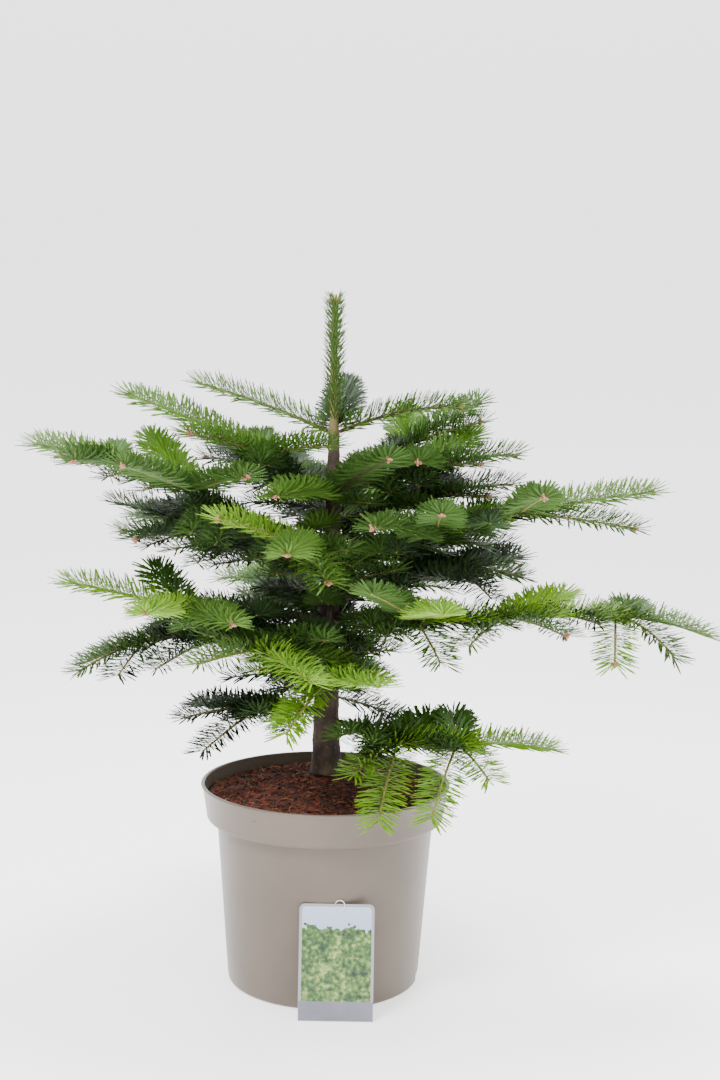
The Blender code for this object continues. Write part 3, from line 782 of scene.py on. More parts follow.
class Scatter:
    """Copies of one small shape, placed and turned by point attributes."""

    def __init__(self, shape: bpy.types.Object) -> None:
        """Build the node tree.

        Args:
            shape: What is copied; its faces marked lower take the underside's finish.
        """
        self.shape = shape
        self.tree = bpy.data.node_groups.new(f"scatter_{shape.name}", "GeometryNodeTree")
        face = self.tree.interface
        face.new_socket("Points", in_out="INPUT", socket_type="NodeSocketGeometry")
        self.shape_input = face.new_socket("Shape", in_out="INPUT", socket_type="NodeSocketObject")
        self.first = face.new_socket("Finish", in_out="INPUT", socket_type="NodeSocketMaterial")
        self.second = face.new_socket("Underside", in_out="INPUT", socket_type="NodeSocketMaterial")
        face.new_socket("Mesh", in_out="OUTPUT", socket_type="NodeSocketGeometry")
        start = self.tree.nodes.new("NodeGroupInput")
        info = self.add("GeometryNodeObjectInfo", {"Object": start.outputs["Shape"]})
        turn = self.named("turn", "FLOAT_VECTOR")
        size = self.named("size", "FLOAT_VECTOR")
        lower = self.named("lower", "BOOLEAN")
        rotation = self.add("FunctionNodeEulerToRotation", {"Euler": turn})
        placed = self.add("GeometryNodeInstanceOnPoints", {
            "Points": start.outputs["Points"], "Instance": info.outputs["Geometry"],
            "Rotation": rotation.outputs[0], "Scale": size})
        real = self.add("GeometryNodeRealizeInstances", {"Geometry": placed.outputs[0]})
        upper = self.add("GeometryNodeSetMaterial", {
            "Geometry": real.outputs[0], "Material": start.outputs["Finish"]})
        whole = self.add("GeometryNodeSetMaterial", {
            "Geometry": upper.outputs[0], "Selection": lower,
            "Material": start.outputs["Underside"]})
        self.add("NodeGroupOutput", {"Mesh": whole.outputs[0]})

    def add(self, kind: str, inputs: dict) -> bpy.types.Node:
        """Add a node.

        Args:
            kind: The node's type.
            inputs: Sockets to link to its inputs, by name.

        Returns:
            The node.
        """
        made = self.tree.nodes.new(kind)
        for key, socket in inputs.items():
            self.tree.links.new(socket, made.inputs[key])
        return made

    def named(self, name: str, kind: str) -> bpy.types.NodeSocket:
        """Read a named attribute.

        Args:
            name: The attribute's name.
            kind: Its data type.

        Returns:
            The socket with its value.
        """
        made = self.tree.nodes.new("GeometryNodeInputNamedAttribute")
        made.data_type = kind
        made.inputs["Name"].default_value = name
        return made.outputs["Attribute"]

    def grow(self, name: str, rows: "Rows", finish: bpy.types.Material,
             underside: bpy.types.Material) -> bpy.types.Object:
        """Place the copies and keep them as a plain mesh.

        Args:
            name: The piece's name.
            rows: Where the copies go.
            finish: Material of the upper faces.
            underside: Material of the faces marked lower.

        Returns:
            The new piece.
        """
        places, turns, sizes = rows.arrays()
        mesh = bpy.data.meshes.new(f"{name}_points")
        mesh.vertices.add(len(places))
        mesh.vertices.foreach_set("co", places.ravel())
        for key, values in (("turn", turns), ("size", sizes)):
            attribute = mesh.attributes.new(key, "FLOAT_VECTOR", "POINT")
            attribute.data.foreach_set("vector", values.ravel())
        points = put(f"{name}_points", mesh)
        modifier = points.modifiers.new("grow", "NODES")
        modifier.node_group = self.tree
        modifier[self.shape_input.identifier] = self.shape
        modifier[self.first.identifier] = finish
        modifier[self.second.identifier] = underside
        graph = bpy.context.evaluated_depsgraph_get()
        grown = bpy.data.meshes.new_from_object(points.evaluated_get(graph))
        grown.name = name
        for key in ("turn", "size", "lower"):
            found = grown.attributes.get(key)
            if found:
                grown.attributes.remove(found)
        bpy.data.objects.remove(points, do_unlink=True)
        return put(name, grown)

    def clear(self) -> None:
        """Remove the shape that was copied."""
        bpy.data.objects.remove(self.shape, do_unlink=True)


class Rows:
    """Places, headings and sizes of small copies."""

    def __init__(self) -> None:
        """Start with nothing."""
        self.parts: list = []

    def __len__(self) -> int:
        """How many copies there are."""
        return sum(len(part[0]) for part in self.parts)

    def add(self, places: np.ndarray, along: np.ndarray, top: np.ndarray,
            sizes: np.ndarray) -> None:
        """Add copies.

        Args:
            places: Where they start.
            along: Which way their length points.
            top: Which way their upper side looks.
            sizes: Length, width and height.
        """
        along = along / np.linalg.norm(along, axis=1, keepdims=True)
        top = top - along * np.sum(top * along, axis=1, keepdims=True)
        top = top / np.linalg.norm(top, axis=1, keepdims=True)
        across = np.cross(top, along)
        turns = np.stack([
            np.arctan2(across[:, 2], top[:, 2]),
            -np.arcsin(np.clip(along[:, 2], -1.0, 1.0)),
            np.arctan2(along[:, 1], along[:, 0])], axis=1)
        self.parts.append((places, turns, sizes))

    def arrays(self) -> tuple[np.ndarray, np.ndarray, np.ndarray]:
        """All copies as three arrays."""
        return tuple(np.concatenate([part[k] for part in self.parts]).astype(np.float32)
                     for k in range(3))


def needle_shape() -> bpy.types.Object:
    """A flat blunt needle of unit length along +X, upper side +Z.

    Returns:
        The needle, with its lower faces marked.
    """
    stations = ((0.0, 0.42, 0.0), (0.64, 1.0, 0.08), (1.0, 0.54, 0.16))
    keel = 0.30
    verts = []
    for along, width, rise in stations:
        verts.append((along, 0.5 * width, rise))
        verts.append((along, -0.5 * width, rise))
        verts.append((along, 0.0, rise - keel * width))
    faces = []
    lower = []
    for ring in range(len(stations) - 1):
        a = 3 * ring
        b = a + 3
        faces.append((a + 1, b + 1, b, a))
        faces.append((a, b, b + 2, a + 2))
        faces.append((a + 2, b + 2, b + 1, a + 1))
        lower += [False, True, True]
    last = 3 * (len(stations) - 1)
    faces.append((0, 2, 1))
    faces.append((last + 1, last + 2, last))
    lower += [True, True]
    shape = new_piece("needle_blank", verts, faces, None, smooth=False)
    mark = shape.data.attributes.new("lower", "BOOLEAN", "FACE")
    mark.data.foreach_set("value", lower)
    return shape


def bud_shape() -> bpy.types.Object:
    """A pointed bud of unit length along +X.

    Returns:
        The bud.
    """
    profile = ((0.0, 0.0), (0.30, 0.02), (0.47, 0.30), (0.38, 0.62), (0.16, 0.88), (0.0, 1.0))
    verts, faces = turned(profile, 7)
    return new_piece("bud_blank", [(v.z, v.x, v.y) for v in verts], faces, None)


def chip_shape() -> bpy.types.Object:
    """An uneven flake of fibre of unit length along +X.

    Returns:
        The flake.
    """
    outline = ((-0.5, -0.16), (-0.1, -0.26), (0.42, -0.12), (0.5, 0.10), (0.05, 0.24),
               (-0.44, 0.12))
    count = len(outline)
    verts = [(x, y, 0.10 * math.sin(5.0 * x)) for x, y in outline]
    verts += [(0.9 * x, 0.8 * y, 0.16 + 0.10 * math.sin(5.0 * x)) for x, y in outline]
    faces = [tuple(reversed(range(count))), tuple(range(count, 2 * count))]
    for k in range(count):
        after = (k + 1) % count
        faces.append((k, after, after + count, k + count))
    return new_piece("chip_blank", verts, faces, None, smooth=False)


def fibre_shape() -> bpy.types.Object:
    """A thin curled fibre of unit length along +X.

    Returns:
        The fibre.
    """
    steps = 6
    points = []
    for k in range(steps + 1):
        share = k / steps
        points.append(Vector((share, 0.16 * math.sin(3.4 * share),
                              0.10 * math.sin(math.pi * share))))
    tubes = Tubes()
    tubes.add(points, 0.030, 0.016, 3)
    return tubes.piece("fibre_blank", None)


@dataclass
class Trunk:
    """The trunk: its taper, its flare and its bark."""

    base: float = 0.2283
    top: float = 0.768
    middle_y: float = 0.030
    lean: float = 0.0035
    wave: float = 0.0014
    wave_turns: float = 1.3
    wave_depth: float = 0.6
    radii: tuple = ((0.000, 0.0200), (0.006, 0.0182), (0.018, 0.0165), (0.045, 0.0152),
                    (0.100, 0.0134), (0.180, 0.0112), (0.260, 0.0094), (0.330, 0.0076),
                    (0.388, 0.0062), (0.400, 0.0050), (0.470, 0.0040), (0.536, 0.0031))
    lobes: int = 5
    lobe_share: float = 0.10
    lobe_height: float = 0.012
    sides: int = 44
    ring_pitch: float = 0.0026
    bud_room: float = 0.006
    knob_share: float = 0.085
    knob_across: float = 190.0
    knob_up: float = 120.0
    crack_share: float = 0.5
    crack_scale: float = 520.0
    collar_share: float = 0.30
    collar_width: float = 1.6
    collar_reach: float = 0.02

    def radius(self, height: float) -> float:
        """Radius of the trunk.

        Args:
            height: Height above the floor.

        Returns:
            The radius there.
        """
        above = max(0.0, height - self.base)
        for (low, r_low), (high, r_high) in zip(self.radii, self.radii[1:]):
            if above <= high:
                return r_low + (r_high - r_low) * (above - low) / (high - low)
        return self.radii[-1][1]

    def axis(self, height: float) -> Vector:
        """Middle of the trunk.

        Args:
            height: Height above the floor.

        Returns:
            The point there.
        """
        share = (height - self.base) / (self.top - self.base)
        wave = self.wave * math.sin(math.tau * self.wave_turns * share)
        return Vector((self.lean * share - wave, self.middle_y + wave * self.wave_depth, height))

    def relief(self, vert: Vector, height: float, reach: float,
               feet: list[tuple[Vector, float]]) -> float:
        """How far the bark stands out at a point.

        Args:
            vert: The point.
            height: Its height above the floor.
            reach: The trunk's radius there.
            feet: Where each bough starts, and its radius.

        Returns:
            The distance.
        """
        knob = Vector((vert.x * self.knob_across, vert.y * self.knob_across,
                       height * self.knob_up))
        cracks = self.crack_share * noise.noise(vert * self.crack_scale)
        rough = self.knob_share * reach * (noise.noise(knob) + cracks)
        collar = 0.0
        for foot, size in feet:
            if abs(foot.z - height) < self.collar_reach:
                near = (vert - foot).length / (self.collar_width * size)
                collar += self.collar_share * size * math.exp(-near ** 2)
        return rough + collar

    def build(self, feet: list[tuple[Vector, float]], bark: bpy.types.Material) -> None:
        """Make the trunk with collars where the boughs leave.

        Args:
            feet: Where each bough starts, and its radius.
            bark: Its finish.
        """
        span = self.top - self.bud_room - self.base
        count = round(span / self.ring_pitch)
        verts = []
        for row in range(count + 1):
            height = self.base + span * row / count
            middle = self.axis(height)
            lobe = self.lobe_share * math.exp(-(height - self.base) / self.lobe_height)
            for k in range(self.sides):
                angle = math.tau * k / self.sides
                spoke = Vector((math.cos(angle), math.sin(angle), 0.0))
                reach = self.radius(height) * (1.0 + lobe * math.cos(self.lobes * angle))
                vert = middle + spoke * reach
                verts.append(vert + spoke * self.relief(vert, height, reach, feet))
        trunk = new_piece("trunk_bark", verts, ring_faces(0, count, self.sides), bark)
        hand_over(trunk, ["trunk"])


@dataclass
class Twig:
    """A leafy shoot: its path, its stem and how it is dressed."""

    path: list
    dress: Dress
    tone: Tone
    habit: Habit
    bough: str
    buds: bool = False
    old: bool = False


@dataclass(frozen=True)
class NeedleRule:
    """How the needles of a shoot are spread, turned and sized."""

    fewest: int = 12
    flank: float = 85.0
    lean_play: float = 6.0
    tip_from: float = 0.88
    tip_close: float = 0.38
    lift: float = 0.10
    lift_below: float = 0.30
    swell_least: float = 0.84
    swell_pace: float = 0.9
    swell_start: float = 0.12
    length_play: tuple = (0.86, 1.10)
    seat: float = 0.8
    top_back: float = 0.55
    top_play: float = 0.16
    width: tuple = (0.0020, 0.0026)
    bend: tuple = (0.6, 1.4)
    bend_share: float = 0.9
    leader_lean: float = 44.0
    leader_play: float = 7.0
    leader_seat: float = 0.85
    leader_length: tuple = (0.82, 1.12)
    leader_width: tuple = (0.0018, 0.0023)

    def on_shoot(self, twig: Twig, dice: np.random.Generator) -> tuple:
        """Needles of one shoot.

        Args:
            twig: The shoot.
            dice: Random numbers.

        Returns:
            Their feet, directions, upper sides and sizes.
        """
        stance = twig.habit.value
        dress = twig.dress
        points = np.array([tuple(point) for point in twig.path])
        pieces = np.diff(points, axis=0)
        lengths = np.linalg.norm(pieces, axis=1)
        count = max(self.fewest, int(lengths.sum() * dress.per_metre))
        index = np.arange(count)
        share = (index + dice.uniform(0.0, 1.0, count)) / count
        spot = share * len(pieces)
        k = np.minimum(spot.astype(int), len(pieces) - 1)
        middle = points[k] + pieces[k] * (spot - k)[:, None]
        forward = pieces[k] / lengths[k][:, None]
        across = np.cross(RISE, forward)
        across /= np.linalg.norm(across, axis=1, keepdims=True)
        above = np.cross(forward, across)
        x = 2.0 * ((index * GOLDEN_SHARE + dice.uniform(0.0, 1.0)) % 1.0) - 1.0
        angle = np.radians(stance.spread) * np.sign(x) * np.abs(x) ** stance.crowding
        away = above * np.cos(angle)[:, None] + across * np.sin(angle)[:, None]
        flank = np.clip(np.abs(angle) / np.radians(self.flank), 0.0, 1.0)
        lean = np.radians(stance.lean_top + (stance.lean_side - stance.lean_top) * flank
                          + dice.normal(0.0, self.lean_play, count))
        lean *= 1.0 - self.tip_close * np.clip((share - self.tip_from) / (1.0 - self.tip_from),
                                               0.0, 1.0)
        along = away * np.sin(lean)[:, None] + forward * np.cos(lean)[:, None]
        below = np.clip(-np.cos(angle)[:, None], 0.0, 1.0)
        along = along + above * (self.lift + self.lift_below * below)
        wave = np.sin(np.pi * np.clip(share * self.swell_pace + self.swell_start, 0.0, 1.0))
        length = dress.needle * (self.swell_least + (1.0 - self.swell_least) * wave)
        length *= stance.top_length + (1.0 - stance.top_length) * flank
        length *= dice.uniform(*self.length_play, count)
        stem = dress.foot + (dress.tip - dress.foot) * share
        feet = middle + away * (stem * self.seat)[:, None]
        top = above - forward * self.top_back + dice.normal(0.0, self.top_play, (count, 3))
        width = dice.uniform(*self.width, count)
        bend = dice.uniform(*self.bend, count) * width * self.bend_share
        return feet, along, top, np.stack([length, width, bend], axis=1)

    def on_leader(self, twig: Twig, dice: np.random.Generator) -> tuple:
        """Needles all round an upright shoot, pointing up and out.

        Args:
            twig: The shoot.
            dice: Random numbers.

        Returns:
            Their feet, directions, upper sides and sizes.
        """
        dress = twig.dress
        count = int((twig.path[-1] - twig.path[0]).length * dress.per_metre)
        share = (np.arange(count) + dice.uniform(0.0, 1.0, count)) / count
        angle = np.arange(count) * GOLDEN_RADIANS
        low = np.array(twig.path[0])
        high = np.array(twig.path[-1])
        away = np.stack([np.cos(angle), np.sin(angle), np.zeros(count)], axis=1)
        stem = dress.foot + (dress.tip - dress.foot) * share
        feet = low + (high - low) * share[:, None] + away * stem[:, None] * self.leader_seat
        lean = np.radians(self.leader_lean + dice.normal(0.0, self.leader_play, count))
        along = away * np.sin(lean)[:, None] + RISE * np.cos(lean)[:, None]
        length = dress.needle * dice.uniform(*self.leader_length, count)
        width = dice.uniform(*self.leader_width, count)
        return feet, along, RISE - away, np.stack([length, width, width], axis=1)


@dataclass
class BoughPlan:
    """Where every limb, shoot and inner twig goes, by the rule of the model's source."""

    trunk: Trunk
    gap: float = 0.0003
    seat_rounds: int = 6
    limb_steps: int = 5
    shoot_steps: int = 5
    limb_taper: float = 0.72
    stem_radius: float = 0.0020
    bare_foot: float = 1.35 * 1.25
    stem_foot: float = 1.25
    collar_foot: float = 1.4
    tip_radius: float = 0.0012
    fan: float = 50.0
    fan_play: float = 7.0
    fan_clear: float = 55.0
    side_share: tuple = (0.74, 0.92)
    side_drop: tuple = (0.0, 8.0)
    back: tuple = (15.0, 165.0)
    old_needle: float = 0.024
    old_per_metre: float = 1200.0
    between: tuple = ((0.30, 56.0), (0.52, -56.0), (0.74, 52.0))
    between_length: tuple = (0.034, 0.052)
    limb_twigs: tuple = (0.30, 0.48, 0.66, 0.84)
    limb_fan: float = 58.0
    limb_least: float = 0.045
    limb_most: float = 0.088
    limb_leafy: float = 0.42
    limb_needle: float = 0.022
    limb_per_metre: float = 900.0
    sprigs: int = 34
    sprig_low: float = 0.315
    sprig_span: float = 0.245
    sprig_length: tuple = (0.055, 0.100)
    leader_foot: float = 0.630
    leader_end: float = 0.004
    leader_steps: int = 8
    twigs: list = field(default_factory=list)
    limbs: list = field(default_factory=list)
    feet: list = field(default_factory=list)

    def seat(self, bough: Bough, bark: BVHTree) -> Vector:
        """Where a bough leaves the trunk: its foot face just clear of the bark.

        Args:
            bough: The bough.
            bark: The model's trunk.

        Returns:
            The middle of its foot.
        """
        first = bough.wood or bough.growth[0]
        radius = bough.radius if bough.wood else self.stem_radius * self.bare_foot
        out = flat_heading(first.azimuth)
        start = self.trunk.axis(bough.height) + out * (self.trunk.radius(bough.height) + radius)
        for _ in range(self.seat_rounds):
            _, across, up = frames(course(start, first, self.limb_steps))[0]
            face = [start]
            for share in (0.5, 1.0):
                for k in range(12):
                    angle = math.tau * k / 12
                    spoke = across * math.cos(angle) + up * math.sin(angle)
                    face.append(start + spoke * radius * share)
            start = start - out * (min(bark.find_nearest(point)[3] for point in face) - self.gap)
        return start

    def ruled_sides(self, bough: Bough) -> list:
        """Side shoots to the left and right of a year's growth that has none listed there.

        Args:
            bough: The bough.

        Returns:
            The side shoots.
        """
        dice = random.Random(bough.name)
        found = []
        for node, shoot in enumerate(bough.growth):
            if node == 0 and not bough.wood:
                continue
            listed = [other.azimuth for at, other in bough.sides if at == node]
            for turn in (self.fan, -self.fan):
                azimuth = shoot.azimuth + turn + dice.uniform(-self.fan_play, self.fan_play)
                lift = shoot.lift - dice.uniform(*self.side_drop)
                length = shoot.length * dice.uniform(*self.side_share)
                if all(abs((azimuth - other + 180.0) % 360.0 - 180.0) > self.fan_clear
                       for other in listed):
                    found.append(side(node, azimuth, lift, length))
        return found

    def lay_boughs(self, bark: BVHTree) -> None:
        """Lay out the limbs, their shoots and the finer twigs between them.

        Args:
            bark: The model's trunk.
        """
        for bough in BOUGHS:
            dice = random.Random(f"{bough.name} looks")
            start = self.seat(bough, bark)
            foot = bough.radius if bough.wood else self.stem_radius * self.collar_foot
            self.feet.append((start, foot))
            axis = []
            if bough.wood:
                wood = course(start, bough.wood, self.limb_steps)
                self.limbs.append((bough, wood[:bough.bare_steps + 1]))
                self.dress_limb(bough, wood, dice)
                if bough.bare_steps < self.limb_steps:
                    axis.append(wood[bough.bare_steps:])
                start = wood[-1]
            first = len(axis)
            for shoot in bough.growth:
                axis.append(course(start, shoot, self.shoot_steps))
                start = axis[-1][-1]
            self.dress_axis(bough, axis, first, dice)
            for node, shoot in (*bough.sides, *self.ruled_sides(bough)):
                path = course(axis[first + node][0], shoot, self.shoot_steps)
                # Painted shade: shoots on the back of a fresh or young bough take the mid green.
                hidden = self.back[0] < shoot.azimuth % 360.0 < self.back[1]
                behind = hidden and bough.tones in (YOUNG, FRESH)
                tone = Tone.MID if behind else dice.choice(bough.tones)
                self.twigs.append(Twig(path, SIDE_DRESS, tone, bough.habit, bough.name,
                                       dice.random() < bough.buds))

    def dress_axis(self, bough: Bough, axis: list, first: int, dice: random.Random) -> None:
        """Needles on the axis, year by year, and short twigs between its years.

        Args:
            bough: The bough.
            axis: Its courses, from its first needles to its tip.
            first: Where the listed growth starts in axis.
            dice: The bough's own random numbers.
        """
        radius = bough.radius * self.limb_taper if bough.wood else self.stem_radius * self.stem_foot
        thinning = self.tip_radius - radius
        for order, path in enumerate(axis):
            last = order == len(axis) - 1
            foot = radius + thinning * order / len(axis)
            tip = radius + thinning * (order + 1) / len(axis)
            old = order < first
            # Old inner growth takes the shaded greens: partly the darker tint of older needles,
            # partly painted shade inside the crown.
            tone = dice.choice(SHADED if old else bough.tones)
            dress = Dress(foot, tip)
            if old:
                dress = Dress(foot, tip, self.old_needle, self.old_per_metre)
            self.twigs.append(Twig(path, dress, tone, bough.habit, bough.name,
                                   last and dice.random() < bough.buds, old))
            if last:
                continue
            azimuth = azimuth_of(path)
            for share, turn in self.between:
                spot = path[0].lerp(path[-1], share + dice.uniform(-0.06, 0.06))
                shoot = Shoot(azimuth + turn + dice.uniform(-9, 9), dice.uniform(-14, 8),
                              dice.uniform(*self.between_length), 6.0)
                # Painted shade: the short twigs between the years take the shaded greens.
                self.twigs.append(Twig(course(spot, shoot, 3), BETWEEN_DRESS, dice.choice(SHADED),
                                       Habit.BRUSH, bough.name))

    def dress_limb(self, bough: Bough, wood: list, dice: random.Random) -> None:
        """Older needles and short inner twigs along a limb's outer part.

        Args:
            bough: The bough.
            wood: Points along its bare wood.
            dice: The bough's own random numbers.
        """
        reach = (wood[-1] - wood[0]).length
        azimuth = azimuth_of(wood)
        for order, share in enumerate(self.limb_twigs):
            spot = wood[0].lerp(wood[-1], share)
            for turn in (self.limb_fan, -self.limb_fan):
                length = reach * dice.uniform(0.42, 0.62) * (0.8 + 0.1 * order)
                shoot = Shoot(azimuth + turn + dice.uniform(-14, 14), dice.uniform(-16, 14),
                              min(self.limb_most, max(self.limb_least, length)), 8.0)
                # Painted shade: the inner twigs along the limb take the shaded greens.
                self.twigs.append(Twig(course(spot, shoot, 4), LIMB_TWIG_DRESS,
                                       dice.choice(SHADED), Habit.BRUSH, bough.name))
        leafy = self.limb_leafy
        outer = [wood[0].lerp(wood[-1], leafy + (1.0 - leafy) * k / 3) for k in range(4)]
        radius = bough.radius * self.limb_taper
        dress = Dress(radius, radius, self.limb_needle, self.limb_per_metre)
        # The limb's older needles take the deep green: partly their own tint, partly painted shade
        # inside the crown.
        self.twigs.append(Twig(outer, dress, Tone.DEEP, Habit.BRUSH, bough.name, old=True))

    def lay_sprigs(self) -> None:
        """Short shoots on the trunk itself, between the boughs."""
        dice = random.Random("sprigs")
        for order in range(self.sprigs):
            height = self.sprig_low + self.sprig_span * order / self.sprigs
            azimuth = order * GOLDEN_DEGREES + dice.uniform(-12, 12)
            near = min(BOUGHS, key=lambda bough: abs(bough.height - height))
            out = flat_heading(azimuth)
            start = self.trunk.axis(height) + out * self.trunk.radius(height) * 0.9
            shoot = Shoot(azimuth, dice.uniform(-14, 26), dice.uniform(*self.sprig_length), 10.0)
            tone = dice.choice((Tone.DEEP, Tone.MID, Tone.LIGHT))
            self.twigs.append(Twig(course(start, shoot, 4), SPRIG_DRESS, tone, Habit.BRUSH,
                                   near.name))

    def lay_leader(self) -> None:
        """The leading shoot."""
        span = self.trunk.top - self.leader_end - self.leader_foot
        path = [self.trunk.axis(self.leader_foot + span * k / self.leader_steps)
                for k in range(self.leader_steps + 1)]
        self.twigs.append(Twig(path, LEADER_DRESS, Tone.MID, Habit.BRUSH, LEADER))


@dataclass
class Needles:
    """All needles of the plan, in pieces of one green each."""

    plan: BoughPlan
    rule: NeedleRule = NeedleRule()
    most: int = 13300

    def build(self) -> None:
        """Grow the needles green by green."""
        scatter = Scatter(needle_shape())
        for tone in Tone:
            finishes = tone.value.make()
            rows = Rows()
            boughs: list = []
            number = 1
            for order, twig in enumerate(self.plan.twigs):
                if twig.tone is not tone:
                    continue
                grow = self.rule.on_leader if twig.bough == LEADER else self.rule.on_shoot
                rows.add(*grow(twig, np.random.default_rng(order)))
                boughs.append(twig.bough)
                if len(rows) > self.most:
                    label = f"{tone.value.name}_{number}"
                    self.hand_over_piece(scatter, label, rows, finishes, boughs)
                    rows = Rows()
                    boughs = []
                    number += 1
            if len(rows):
                label = f"{tone.value.name}_{number}"
                self.hand_over_piece(scatter, label, rows, finishes, boughs)
        scatter.clear()

    def hand_over_piece(self, scatter: Scatter, label: str, rows: Rows, finishes: tuple,
                        boughs: list) -> None:
        """One joined piece of needles that stands for the masses it grows in.

        Args:
            scatter: Places the needles.
            label: Its green and number.
            rows: Where its needles go.
            finishes: Upper side and underside.
            boughs: The boughs that it grows on.
        """
        piece = scatter.grow(f"needles_{label}", rows, *finishes)
        names = ["leader_needles" if bough == LEADER else f"mass_{bough}"
                 for bough in dict.fromkeys(boughs)]
        hand_over(piece, names)


@dataclass
class Wood:
    """Bark on the bare limbs, and stems under the needles."""

    plan: BoughPlan
    limb_rings: int = 26
    limb_sides: int = 12
    limb_foot: float = 1.02
    relief: float = 0.00045
    relief_scale: float = 420.0
    stem_rings: int = 7
    stem_sides: int = 6
    old_from: float = 0.0021
    old_bark: CloudedFinish = CloudedFinish("old_twig_bark", srgb(70, 55, 42), srgb(112, 92, 68),
                                            260.0, 0.8)
    young_bark: CloudedFinish = CloudedFinish("young_twig_bark", srgb(112, 100, 50),
                                              srgb(150, 136, 76), 260.0, 0.6)

    def build(self, bark: bpy.types.Material) -> None:
        """Make the limbs, then the stems.

        Args:
            bark: Finish of the limbs.
        """
        limbs = Tubes()
        for bough, path in self.plan.limbs:
            limbs.add(resample(path, self.limb_rings), bough.radius * self.limb_foot,
                      bough.radius * self.plan.limb_taper, self.limb_sides, self.relief,
                      self.relief_scale)
        names = [f"bough_{bough.name}" for bough, _ in self.plan.limbs]
        hand_over(limbs.piece("limb_bark", bark), names)
        for old, finish, name in ((True, self.old_bark, "old_twigs"),
                                  (False, self.young_bark, "young_twigs")):
            tubes = Tubes()
            for twig in self.plan.twigs:
                if twig.bough != LEADER and (twig.old or twig.dress.foot > self.old_from) == old:
                    tubes.add(resample(twig.path, self.stem_rings), twig.dress.foot,
                              twig.dress.tip, self.stem_sides)
            hand_over(tubes.piece(name, finish.make()), [])


@dataclass
class Buds:
    """Winter buds: clusters at the tips, and single ones along the shoots."""

    plan: BoughPlan
    seed: int = 11
    size: float = 0.0062
    girth: float = 0.78
    side_size: tuple = (0.0046, 0.0040, 0.0040)
    side_lift: float = 1.1
    side_off: float = 0.001
    leader_count: int = 8
    leader_size: float = 0.0098
    smaller: tuple = (0.72, 0.92)
    smaller_girth: float = 0.8
    splay: float = 0.95
    finish: CloudedFinish = CloudedFinish("bud_scales", srgb(140, 88, 66), srgb(196, 146, 118),
                                          700.0, 0.5)

    def build(self) -> None:
        """Grow the buds."""
        dice = np.random.default_rng(self.seed)
        rows = Rows()
        for twig in self.plan.twigs:
            if not twig.buds:
                continue
            heading = np.array((twig.path[-1] - twig.path[-2]).normalized())
            self.cluster(rows, np.array(twig.path[-1]), heading, int(dice.integers(3, 6)),
                         self.size, dice)
            spot = np.array(twig.path[2].lerp(twig.path[3], float(dice.uniform(0.0, 1.0))))
            rows.add(spot[None] + RISE[None] * self.side_off,
                     (heading + RISE * self.side_lift)[None], heading[None],
                     np.array([self.side_size]))
        trunk = self.plan.trunk
        top = np.array(trunk.axis(trunk.top - trunk.bud_room))
        self.cluster(rows, top, RISE, self.leader_count, self.leader_size, dice)
        scatter = Scatter(bud_shape())
        scales = self.finish.make()
        piece = scatter.grow("winter_buds", rows, scales, scales)
        scatter.clear()
        hand_over(piece, [])

    def cluster(self, rows: Rows, tip: np.ndarray, heading: np.ndarray, count: int, size: float,
                dice: np.random.Generator) -> None:
        """One end bud with smaller ones round it.

        Args:
            rows: Takes the buds.
            tip: Where the shoot ends.
            heading: Which way it points.
            count: How many buds.
            size: Length of the end bud.
            dice: Random numbers.
        """
        helper = RISE if abs(heading[2]) < 0.9 else np.array([1.0, 0.0, 0.0])
        across = np.cross(helper, heading)
        across /= np.linalg.norm(across)
        above = np.cross(heading, across)
        rows.add(tip[None] - heading[None] * 0.001, heading[None], above[None],
                 np.array([[size, size * self.girth, size * self.girth]]))
        for k in range(count - 1):
            angle = math.tau * k / (count - 1) + dice.uniform(-0.3, 0.3)
            away = across * math.cos(angle) + above * math.sin(angle)
            small = size * dice.uniform(*self.smaller)
            girth = small * self.smaller_girth
            rows.add(tip[None] + away[None] * 0.0012 - heading[None] * 0.0015,
                     (heading + away * self.splay)[None], (above + heading)[None],
                     np.array([[small, girth, girth]]))


